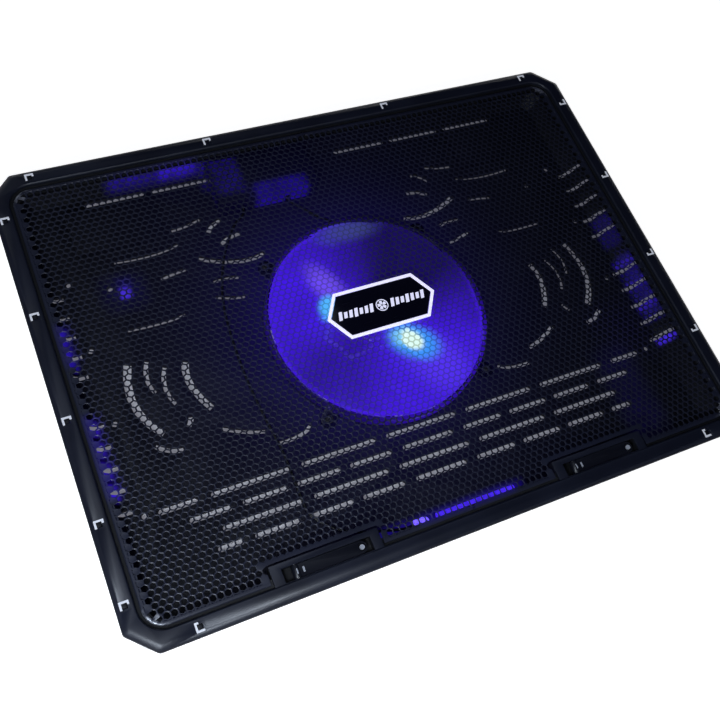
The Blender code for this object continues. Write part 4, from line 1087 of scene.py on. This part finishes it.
@dataclass
class PlainParts:
    """The nodes whose shape is already right, which only take a finish."""

    pad: Pad
    finishes: dict[Finishes, tuple[str, ...]] = field(
        default_factory=lambda: {
            Finishes.PIN: (*STOP_PINS, "left_leg_pin", "right_leg_pin"),
            Finishes.STEEL: ("fan_shaft",),
            Finishes.BLACK_SCREW: (*(f"fan_screw_{i}" for i in range(1, 5)), "board_screw_1", "board_screw_2"),
            Finishes.FERRITE: ("rotor_magnet",),
            Finishes.BRONZE: ("shaft_bearing",),
            Finishes.CORE: ("stator_core",),
            Finishes.COIL: tuple(f"stator_coil_{i}" for i in range(1, 5)),
            Finishes.BOARD: ("fan_board", "usb_board"),
            Finishes.SLEEVE: ("fan_lead", "light_lead"),
            Finishes.DIODE: ("fan_led_front", "fan_led_left"),
            Finishes.ROUND_DIODE: ("front_led",),
            Finishes.BAR: ("front_light_bar",),
        }
    )

    def build(self) -> None:
        """Gives each node its finish."""
        for finish, nodes in self.finishes.items():
            for name in nodes:
                node = self.pad.node(name)
                node.data.materials.clear()
                node.data.materials.append(finish.material())
            LOG.info("%s: %d nodes", finish.name.lower(), len(nodes))


class Side(Enum):
    """A half of the panel."""

    LEFT = -1.0
    RIGHT = 1.0


@dataclass
class PerforatedPanel:
    """The punched sheet that the laptop lies on, made in two halves that meet in the middle."""

    pad: Pad
    pitch: float = 3.64
    row: float = 2.94
    hole_share: float = 0.77
    crown: float = 0.16
    edge_drop: float = 0.5
    border: float = 1.3
    thickness: float = 0.45
    corner: float = 10.2
    notch_reach: Place = (13.7, 45.7)
    notch_rear: float = -112.3
    notch_margin: float = 1.75
    plain_band: float = 1.2
    trimmed: float = 0.4
    snapped: float = 3.2
    skirt: float = 0.33
    crease: float = 40.0
    roll: tuple[Place, ...] = ((0.5, 0.08), (0.8, 0.38), (1.0, 1.0))

    def notches(self, margin: float) -> list[Point]:
        """Finds the notches in which the stops turn.

        Args:
            margin: Their widening on each side, in millimetres.

        Returns:
            The left, right and rear limit of each, in metres.
        """
        found = []
        for pin in STOP_PINS:
            low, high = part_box(pin)
            pivot = (low.x + high.x) / 2 / MM
            left, right = pivot - self.notch_reach[0] - margin, pivot + self.notch_reach[1] + margin
            found.append((left * MM, right * MM, (self.notch_rear + margin) * MM))
        return found

    def in_notches(self, x: Field, y: Field, margin: float) -> Field:
        """Returns 1 where a point lies in a stop's notch, widened by a margin in millimetres."""
        first, second = [(x > left) * (x < right) * (y < rear) for left, right, rear in self.notches(margin)]
        return first.most(second)

    def open_edges(self, tree: GeometryTree) -> Field:
        """Returns 1 on edges with a face on one side only."""
        return tree.add("GeometryNodeInputMeshEdgeNeighbors") < 1.5

    def border_points(self, tree: GeometryTree) -> Field:
        """Returns 1 on the points of open edges."""
        settings = {"domain": "EDGE", "data_type": "FLOAT"}
        return tree.add("GeometryNodeFieldOnDomain", settings, {0: self.open_edges(tree)}) > 0.01

    def from_core(self, tree: GeometryTree) -> tuple[Field, ...]:
        """Returns each point's distance from the core rectangle, the nearest core point, the way out and Z."""
        x, y, z = tree.split(tree.position())
        straight_x, straight_y = tree["Length"] - tree["Corner"], tree["Depth"] - tree["Corner"]
        inner_x, inner_y = straight_x.least(x.most(straight_x * -1.0)), straight_y.least(y.most(straight_y * -1.0))
        dx, dy = x - inner_x, y - inner_y
        return dx.length(dy).most(1e-7), inner_x, inner_y, dx, dy, z

    def half(self, side: Side) -> bpy.types.Object:
        """Builds one half.

        Args:
            side: The half to build.

        Returns:
            The piece.
        """
        low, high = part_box("mesh_panel")
        size = high - low
        rows = 2 * math.ceil(size.y / 2 / (self.row * MM)) + 3
        columns = 2 * math.ceil(size.x / 2 / (self.pitch * MM)) + 4
        tree = GeometryTree(
            f"Perforations {side.name.lower()}",
            Pitch=self.pitch * MM, Row=self.row * MM, Columns=columns, Rows=rows, Share=self.hole_share,
            Length=size.x / 2, Depth=size.y / 2, Corner=self.corner * MM, Side=side.value,
            Crown=self.crown * MM, Drop=self.edge_drop * MM, Border=self.border * MM, Top=high.z,
        )
        grid = tree.grid((tree["Columns"] - 1) * tree["Pitch"], (tree["Rows"] - 1) * tree["Row"])
        _, y, _ = tree.split(tree.position())
        row = (y / tree["Row"] + 200.0).nearest().modulo(2.0)
        lattice = tree.moved(grid, Offset=tree.vector((row - 0.5) * tree["Pitch"] * 0.5, 0.0, 0.0))
        cells = tree.add("GeometryNodeDualMesh", None, {0: tree.add("GeometryNodeTriangulate", None, {0: lattice})})

        x, y, _ = tree.split(tree.position())
        radius = tree["Corner"] - tree["Border"]
        reach = self.from_core(tree)[0]
        gone = (reach > radius + self.trimmed * MM).most(x * tree["Side"] < 0.0)
        cells = tree.without(cells, gone.most(self.in_notches(x, y, 0.0)))

        whole = (reach < radius - self.plain_band * MM) * (1.0 - self.in_notches(x, y, self.notch_margin))
        holes = tree.add("GeometryNodeExtrudeMesh", None, {
            "Mesh": cells, "Selection": whole, "Offset Scale": 0.0, "Individual": True,
        })
        top = tree.other_output(holes, "Top")
        shrunk = tree.add("GeometryNodeScaleElements", {"domain": "FACE"}, {
            "Geometry": holes, "Selection": top, "Scale": tree["Share"],
        })
        sunk = tree.moved(shrunk, Selection=top, Offset=tree.vector(0.0, 0.0, tree["Crown"] * -1.0))
        sheet = tree.without(sunk, top)

        border = self.border_points(tree)
        reach, inner_x, inner_y, dx, dy, z = self.from_core(tree)
        outer = border * (reach > radius - self.snapped * MM)
        limit = radius - (z < self.crown * -0.5 * MM) * 0.5 * MM
        share = (limit / reach).least(1.0 + outer * 10.0)
        sheet = tree.moved(sheet, Position=tree.vector(inner_x + dx * share, inner_y + dy * share, z + tree["Top"]))

        reach = self.from_core(tree)[0]
        chosen: Field = self.open_edges(tree) * (reach > radius - self.skirt * MM)
        for outward, drop in self.roll:
            strip = tree.add("GeometryNodeExtrudeMesh", {"mode": "EDGES"}, {
                "Mesh": sheet, "Selection": chosen, "Offset Scale": 0.0,
            })
            chosen = tree.other_output(strip, "Top")
            reach, inner_x, inner_y, dx, dy, z = self.from_core(tree)
            share = (radius + tree["Border"] * outward) / reach
            level = tree["Top"] - tree["Drop"] * drop
            placed = tree.vector(inner_x + dx * share, inner_y + dy * share, level)
            sheet = tree.moved(strip, Selection=chosen, Position=placed)
        piece = tree.made(f"mesh_panel_{side.name.lower()}", sheet, Finishes.PANEL.material())
        return self.finished(settled(piece))

    def finished(self, piece: bpy.types.Object) -> bpy.types.Object:
        """Squares the sheet up to the stop notches and gives it its thickness.

        Args:
            piece: A half with no thickness.

        Returns:
            The closed piece.
        """
        for left, right, rear in self.notches(0.0):
            for vertex in piece.data.vertices:
                x, y = vertex.co.x, vertex.co.y
                if left < x < right and y < rear:
                    ways = {rear - y: (x, rear), x - left: (left, y), right - x: (right, y)}
                    vertex.co.x, vertex.co.y = ways[min(ways)]
        solid = piece.modifiers.new("Sheet", "SOLIDIFY")
        solid.thickness = self.thickness * MM
        solid.offset = -1.0
        creased(settled(piece), self.crease)
        return piece

    def build(self) -> None:
        """Makes both halves in place of the plain sheet."""
        for side in Side:
            self.pad.add(self.half(side), "panel_steel", replaces=("mesh_panel",))


@dataclass
class FanRotor:
    """The fan's moulded rotor: a hub cup with wide blades that overlap."""

    pad: Pad
    hub_radius: float = 19.8
    hub_wall: float = 1.4
    tip_radius: float = 61.3
    blades: int = 9
    chord: float = math.radians(46.0)
    sweep: float = math.radians(22.0)
    thickness: float = 1.0
    rise: float = 4.0
    camber: float = 0.18
    root_lift: float = 0.9
    overlap: float = 0.8
    grid: tuple[int, int] = (16, 14)
    cup_sides: int = 72
    crease: float = 38.0

    def blade(self, shape: bmesh.types.BMesh, turn: float, base: float) -> None:
        """Adds one swept blade.

        Args:
            shape: Takes the blade.
            turn: Angle of its leading edge at the hub.
            base: Height of its middle there, in millimetres.
        """
        rows, columns = self.grid
        root = self.hub_radius - self.overlap
        layers = []
        for side in (-0.5, 0.5):
            layer = []
            for row in range(rows + 1):
                share = row / rows
                radius = root + (self.tip_radius - root) * share
                line = []
                for column in range(columns + 1):
                    across = column / columns
                    angle = turn + self.sweep * share**2 + across * self.chord
                    height = base + self.rise * (across + self.camber * math.sin(math.pi * across))
                    edge = min(1.0, 0.35 + 5 * min(across, 1 - across))
                    height += side * self.thickness * edge
                    line.append(shape.verts.new((radius * math.cos(angle), radius * math.sin(angle), height)))
                layer.append(line)
            layers.append(layer)
        under, over = layers
        for row in range(rows):
            for column in range(columns):
                for layer in layers:
                    shape.faces.new((layer[row][column], layer[row][column + 1],
                                     layer[row + 1][column + 1], layer[row + 1][column]))
        edge = [(0, c) for c in range(columns)] + [(r, columns) for r in range(rows)]
        edge += [(rows, c) for c in range(columns, 0, -1)] + [(r, 0) for r in range(rows, 0, -1)]
        for (r, c), (s, d) in zip(edge, edge[1:] + edge[:1]):
            shape.faces.new((under[r][c], under[s][d], over[s][d], over[r][c]))

    def hub(self, shape: bmesh.types.BMesh, low: float, high: float) -> None:
        """Adds the hub cup, turned from its profile.

        Args:
            shape: Takes the cup.
            low: Height of its rim, in millimetres.
            high: Height of its top.
        """
        inner, ceiling = self.hub_radius - self.hub_wall, high - 1.6
        profile = [
            (1.75, high - 0.7), (1.75, ceiling - 1.4), (3.2, ceiling - 1.4), (3.2, ceiling), (inner - 0.6, ceiling),
            (inner, ceiling - 0.6), (inner, low), (self.hub_radius, low), (self.hub_radius, high - 1.4),
            (self.hub_radius - 0.25, high - 0.7), (self.hub_radius - 0.8, high - 0.2),
            (self.hub_radius - 1.6, high), (self.hub_radius - 5.0, high),
            (self.hub_radius - 5.4, high - 0.35), (4.0, high - 0.35),
        ]
        turned(shape, profile, self.cup_sides)

    def build(self) -> None:
        """Makes the rotor in place of its node."""
        low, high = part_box("fan_rotor")
        shape = bmesh.new()
        self.hub(shape, low.z / MM, high.z / MM)
        for step in range(self.blades):
            self.blade(shape, math.tau * step / self.blades, low.z / MM + self.root_lift)
        piece = from_bmesh("fan_rotor_moulding", shape, Finishes.ROTOR.material())
        creased(piece, self.crease)
        self.pad.add(piece, "lit_blue", "rotor", ("fan_rotor",))


@dataclass
class BadgeMark:
    """The drawn mark on the nameplate: a pinwheel between two runs of slanted dashes."""

    pad: Pad
    height: float = 5.0
    dash_pitch: float = 3.1
    dash_width: float = 1.95
    dashes: int = 7
    first_dash: float = 6.4
    slant: float = 0.28
    shortening: float = 0.14
    proud: float = 0.14
    ring: Place = (3.1, 3.6)
    ring_sides: int = 40
    vanes: int = 5
    vane: tuple[Place, ...] = ((0.4, 0.0), (1.4, -0.1), (2.7, 0.1), (2.7, 0.75), (1.7, 0.95), (0.9, 0.9))

    def pinwheel(self, base: float) -> bpy.types.Object:
        """Builds the pinwheel.

        Args:
            base: Height of the face it lies on, in millimetres.

        Returns:
            The piece.
        """
        shape = bmesh.new()
        sides = self.ring_sides
        ring = [place for radius in self.ring for place in circle(radius, sides)]
        rows = [[shape.verts.new((x, y, z)) for x, y in ring] for z in (base, base + self.proud)]
        for i in range(sides):
            j = (i + 1) % sides
            for row in rows:
                shape.faces.new((row[i], row[j], row[sides + j], row[sides + i]))
            for k in (0, sides):
                shape.faces.new((rows[0][k + i], rows[0][k + j], rows[1][k + j], rows[1][k + i]))
        for step in range(self.vanes):
            turn = math.tau * step / self.vanes
            outline = [(r * math.cos(turn + angle), r * math.sin(turn + angle)) for r, angle in self.vane]
            prism(shape, outline, base, base + self.proud)
        return from_bmesh("badge_pinwheel", shape, Finishes.MARK.material())

    def dash_run(self, side: Side, base: float) -> bpy.types.Object:
        """Builds one run of dashes.

        Args:
            side: The run's side of the pinwheel.
            base: Height of the face it lies on, in millimetres.

        Returns:
            The piece.
        """
        tree = GeometryTree(
            f"Dashes {side.name.lower()}",
            Count=self.dashes, First=side.value * self.first_dash * MM, Step=side.value * self.dash_pitch * MM,
            Width=self.dash_width * MM, Height=self.height * MM, Base=base * MM, Proud=self.proud * MM,
        )
        shorter = 1.0 - tree.add("GeometryNodeInputIndex").modulo(3.0) * self.shortening
        runs = tree.row_of_boxes(
            tree.vector(tree["First"], 0.0, tree["Base"] + tree["Proud"] * 0.5),
            tree.vector(tree["Width"], tree["Height"], tree["Proud"]),
            Scale=tree.vector(1.0, shorter, 1.0),
        )
        plain = tree.add("GeometryNodeRealizeInstances", None, {"Geometry": runs})
        x, y, z = tree.split(tree.position())
        slanted = tree.moved(plain, Position=tree.vector(x + y * self.slant, y, z))
        piece = tree.made(f"badge_dashes_{side.name.lower()}", slanted, Finishes.MARK.material())
        return settled(piece)

    def build(self) -> None:
        """Makes the mark on the nameplate's face."""
        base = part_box("nameplate_face")[1].z / MM
        self.pad.add(self.pinwheel(base), "nameplate_white")
        for side in Side:
            self.pad.add(self.dash_run(side, base), "nameplate_white")


@dataclass
class SnapWindows:
    """Light grey lips with a painted glow that arch round the frame's snap windows, in their shallow seats, as
    painted highlights on the windows' edges.
    """

    pad: Pad
    side_places: tuple[float, ...] = (104.0, 45.0, -14.0, -68.0, -107.5)
    rear_places: tuple[float, ...] = (57.0, 157.0)
    front_place: float = 147.0
    inset: float = 4.5
    reach: float = 2.38
    width: float = 1.06
    heel: float = -1.7
    toe: float = 0.4
    seat: float = 0.4
    lowered: float = 0.04
    edge: float = 0.12

    def places(self) -> list[Point]:
        """Finds the snap windows.

        Returns:
            The middle of each window and the turn of its lip, in degrees.
        """
        _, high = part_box("top_frame")
        side, end = high.x / MM - self.inset, high.y / MM - self.inset
        found = [(-side, y, 0.0) for y in self.side_places] + [(side, y, 180.0) for y in self.side_places]
        found += [(sign * x, end, 0.0) for sign in (-1, 1) for x in self.rear_places]
        return found + [(sign * self.front_place, -end, 90.0) for sign in (-1, 1)]

    def build(self) -> None:
        """Makes one L-shaped lip beside each window, as a painted highlight."""
        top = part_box("top_frame")[1].z / MM
        shape = bmesh.new()
        a, b = self.reach, self.reach - self.width
        for x, y, turn in self.places():
            leg = [(-a, self.heel), (-b, self.heel), (-b, b), (b, b)]
            outline = [*leg, (b, self.toe), (a, self.toe), (a, a), (-a, a)]
            c, s = [round(part) for part in direction(turn)]
            placed = [(x + u * c - v * s, y + u * s + v * c) for u, v in outline]
            prism(shape, placed, top - self.seat, top - self.lowered)
        # Painted highlights: these lips stand in for the glints on the windows' edges.
        piece = rounded(from_bmesh("snap_window_lips", shape, Finishes.LIP.material()), self.edge)
        self.pad.add(piece, "case_plastic")


@dataclass
class StopTrim:
    """A light grey button in the tip of each stop and two clips at its hinge, with a faint painted glow, standing
    in for the highlights there.
    """

    pad: Pad
    button_radius: float = 1.3
    button_place: float = 34.1
    bar_top: float = 1.85
    barrel_top: float = 2.3
    button_span: Place = (-1.2, -0.12)
    clip_half: Place = (0.5, 1.35)
    clip_place: float = 3.4
    clip_span: Place = (-0.3, 0.18)
    barrel_share: float = 0.6
    edge: float = 0.1

    def build(self) -> None:
        """Makes one set for each stop, turning with it."""
        for side in ("left", "right"):
            low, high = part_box(f"{side}_stop_pin")
            pivot, middle, axis = ((a + b) / 2 / MM for a, b in zip(low, high))
            shape = bmesh.new()
            face = axis + self.bar_top
            button = circle(self.button_radius, 24, (pivot + self.button_place, middle))
            prism(shape, button, *(face + part for part in self.button_span))
            half_x, half_y = self.clip_half
            clips = (self.clip_place, face, 1.0), (0.0, axis + self.barrel_top, self.barrel_share)
            for place, level, share in clips:
                a, b = pivot + place - half_x * share, pivot + place + half_x * share
                outline = [(a, middle - half_y), (b, middle - half_y), (b, middle + half_y), (a, middle + half_y)]
                prism(shape, outline, *(level + part for part in self.clip_span))
            # Painted highlights: the button and clips stand in for the glints at the tip and the hinge.
            piece = rounded(from_bmesh(f"{side}_stop_trim", shape, Finishes.TRIM.material()), self.edge)
            self.pad.add(piece, "bright_steel", body=self.pad.body_of(f"{side}_stop"))


@dataclass
class Feet:
    """The rubber feet: turned pads with a shallow ring on the sole."""

    pad: Pad
    nodes: tuple[str, ...] = ("front_left_foot", "front_right_foot", "rear_left_foot", "rear_right_foot")
    sides: int = 40
    crease: float = 35.0

    def build(self) -> None:
        """Makes each foot in place of its node."""
        for node in self.nodes:
            low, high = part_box(node)
            centre = ((low.x + high.x) / 2 / MM, (low.y + high.y) / 2 / MM)
            radius, top = (high.x - low.x) / 2 / MM, high.z / MM
            profile = [
                (0.01, top), (radius, top), (radius, 0.9), (radius - 0.25, 0.35), (radius - 0.8, 0.0),
                (radius - 2.0, 0.0), (radius - 2.2, 0.3), (radius - 3.0, 0.3), (radius - 3.2, 0.0), (0.01, 0.0),
            ]
            shape = bmesh.new()
            turned(shape, profile, self.sides, centre)
            piece = from_bmesh(f"{node}_pad", shape, Finishes.RUBBER.material())
            creased(piece, self.crease)
            self.pad.add(piece, "foot_rubber", replaces=(node,))


@dataclass
class CaseScrews:
    """The screws that hold the frame to the tray, driven in from below."""

    pad: Pad
    front_place: Place = (127.8, 104.3)
    rear_share: float = 0.67
    head_radius: float = 2.7
    head_height: float = 0.7
    head_sides: int = 24
    recess: tuple[Place, ...] = ((0.35, -0.35), (1.5, -0.35), (1.5, 0.35))
    recess_taper: float = 0.8
    recess_roof: float = 0.15

    def head(self) -> bpy.types.Object:
        """Builds one screw head at the origin, with a cross recess."""
        shape = bmesh.new()
        profile = (self.head_radius, 0.0), (self.head_radius, -0.3), (self.head_radius - 0.5, -self.head_height)
        rings = [[shape.verts.new((x, y, z)) for x, y in circle(r, self.head_sides)] for r, z in profile]
        quarters = (1, 0), (0, 1), (-1, 0), (0, -1)
        cross = [(u * c - v * s, u * s + v * c) for c, s in quarters for u, v in self.recess]
        rim = [shape.verts.new((x, y, -self.head_height)) for x, y in cross]
        taper = self.recess_taper
        sunk = [shape.verts.new((x * taper, y * taper, -self.recess_roof)) for x, y in cross]
        shape.faces.new(rings[0])
        shape.faces.new(sunk)
        bridge(shape, rings)
        bridge(shape, (rim, sunk))
        edges = [e for e in shape.edges if e.is_boundary]
        bmesh.ops.triangle_fill(shape, edges=edges, use_beauty=True)
        return from_bmesh("case_screw_head", shape, Finishes.BLACK_SCREW.material())

    def build(self) -> None:
        """Puts three screws along the front and three along the rear, between the leg pockets."""
        low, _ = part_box("base_tray")
        head = self.head()
        across, along = self.front_place
        tree = GeometryTree(
            "Case screws",
            Columns=3, Rows=2, Length=2 * across * MM, Depth=2 * along * MM, Under=low.z, Narrower=self.rear_share,
        )
        x, y, _ = tree.split(tree.position())
        rear = (y > 0.0) * (1.0 - tree["Narrower"])
        grid = tree.grid(tree["Length"], tree["Depth"])
        points = tree.moved(grid, Position=tree.vector(x * (1.0 - rear), y, tree["Under"]))
        shape = tree.add("GeometryNodeObjectInfo", None, {"Object": head}, "Geometry")
        piece = settled(tree.made("case_screws", tree.copies(points, shape), Finishes.BLACK_SCREW.material()))
        bpy.data.objects.remove(head)
        self.pad.add(piece, "black_screw")


@dataclass
class SocketContacts:
    """The gilt strips on each socket's tongue."""

    pad: Pad
    count: int = 4
    pitch: float = 2.3
    width: float = 1.0
    length: float = 8.0
    thickness: float = 0.12
    set_back: float = 0.6
    below_top: float = 2.12

    def build(self) -> None:
        """Makes the strips of both sockets."""
        for side in ("left", "right"):
            low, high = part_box(f"{side}_usb_tongue")
            middle = (low + high) / 2
            tree = GeometryTree(
                f"Contacts {side}",
                Count=self.count, First=middle.x - self.pitch * MM * (self.count - 1) / 2, Step=self.pitch * MM,
                Width=self.width * MM, Length=self.length * MM, Thickness=self.thickness * MM,
                Rear=high.y - self.set_back * MM, Under=high.z - self.below_top * MM,
            )
            strips = tree.row_of_boxes(
                tree.vector(tree["First"], tree["Rear"] - tree["Length"] * 0.5, tree["Under"]),
                tree.vector(tree["Width"], tree["Length"], tree["Thickness"]),
            )
            piece = settled(tree.made(f"{side}_usb_contacts", strips, Finishes.GOLD.material()))
            self.pad.add(piece, "bright_steel")


@dataclass(frozen=True)
class Lamp:
    """A square soft box: its place, the point it faces and its side, in metres, and its power in watts."""

    name: str
    place: Point
    aim: Point
    size: float
    power: float
    colour: RGB = (0.78, 0.87, 1.0)

    def hang(self) -> None:
        """Puts the lamp in the scene."""
        data = bpy.data.lights.new(self.name, "AREA")
        data.energy, data.size, data.color = self.power, self.size, self.colour
        lamp = bpy.data.objects.new(self.name, data)
        lamp.location = self.place
        lamp.rotation_euler = (Vector(self.aim) - Vector(self.place)).to_track_quat("-Z", "Y").to_euler()
        bpy.context.scene.collection.objects.link(lamp)


@dataclass
class Studio:
    """A pale floor, soft light and the camera."""

    place: Point = (-0.18512, -0.18569, 0.45473)
    turn: Point = (25.389, -11.353, -22.790)
    lens: float = 45.65
    sensor: float = 36.0
    near: float = 0.01
    floor_half: float = 4000.0
    fade_right: Place = (10.0, 18.0)
    fade_rear: Place = (8.0, 16.0)
    fade_inside: Place = (1.0, 9.0)
    slope_reach: float = 230.0
    slope_low: float = 0.4
    pale: RGB = (0.95, 0.95, 0.95)
    painted_shadow: tuple[RGB, RGB] = ((0.012, 0.012, 0.02), (0.145, 0.145, 0.17))
    surroundings: RGB = (0.012, 0.013, 0.03)
    lamps: tuple[Lamp, ...] = (
        Lamp("key", (-0.26, -0.26, 0.36), (-0.14, -0.1, 0.0), 0.12, 1.15),
        Lamp("overhead", (-0.21, -0.02, 0.9), (-0.17, -0.1, 0.0), 0.42, 0.45),
        Lamp("front", (0.3, -1.3, 0.9), (0.0, 0.0, 0.0), 0.8, 1.0),
        Lamp("rear", (-0.5, 1.3, 0.8), (0.0, 0.0, 0.0), 0.8, 0.6),
    )

    def camera(self) -> None:
        """Sets up the camera, which looks down on the pad from the front left."""
        data = bpy.data.cameras.new("camera")
        data.lens = self.lens
        data.sensor_width = self.sensor
        data.clip_start = self.near
        camera = bpy.data.objects.new("camera", data)
        camera.location = self.place
        camera.rotation_euler = [math.radians(part) for part in self.turn]
        bpy.context.scene.collection.objects.link(camera)
        bpy.context.scene.camera = camera

    def floor(self) -> None:
        """Lays a pale floor that glows evenly, with a painted shadow under the pad that reaches a little past its
        right and rear edges and lightens towards the front left.
        """
        shape = bmesh.new()
        bmesh.ops.create_grid(shape, x_segments=1, y_segments=1, size=self.floor_half)
        surface = Surface("floor_white")
        low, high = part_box("base_tray")
        # Painted shadow: under the pad, and a little past its right and rear edges, the floor glows dimly, more at
        # the front left.
        start, end = (part * MM for part in self.fade_inside)
        across, along = [
            part.ramp(last + outer * MM, last + inner * MM) * part.ramp(first + start, first + end)
            for part, first, last, (inner, outer) in (
                (surface.x, low.x, high.x, self.fade_right),
                (surface.y, low.y, high.y, self.fade_rear),
            )
        ]
        slope = (surface.x + surface.y) / MM
        slope = slope.ramp(self.slope_reach, -self.slope_reach) * (1.0 - self.slope_low) + self.slope_low
        light = surface.blend(across * along, self.pale, surface.blend(slope, *self.painted_shadow))
        surface.set(Base_Color=(0.7, 0.7, 0.7), Roughness=0.9, Emission_Color=light, Emission_Strength=1.0)
        from_bmesh("floor", shape, surface.material)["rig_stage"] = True

    def build(self) -> None:
        """Sets up everything round the pad."""
        scene = bpy.context.scene
        scene.view_settings.view_transform = "Standard"
        world = bpy.data.worlds.new("studio")
        world.use_nodes = True
        world.node_tree.nodes["Background"].inputs["Color"].default_value = (*self.surroundings, 1.0)
        scene.world = world
        self.camera()
        self.floor()
        for lamp in self.lamps:
            lamp.hang()
        LOG.info("studio ready")


def main() -> None:
    """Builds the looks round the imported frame."""
    logging.basicConfig(level=logging.INFO, format="%(name)s: %(message)s")
    pad = Pad(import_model())
    cad_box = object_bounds()
    Studio().build()
    for assembly in (
        PlainParts, Mouldings, PerforatedPanel, FanRotor, BadgeMark, SnapWindows, StopTrim, Feet,
        CaseScrews, SocketContacts,
    ):
        assembly(pad).build()
    boxes = {"cad": cad_box, "visual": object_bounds()}
    {name: [list(corner) for corner in box] for name, box in boxes.items()}


if __name__ == "__main__":
    main()
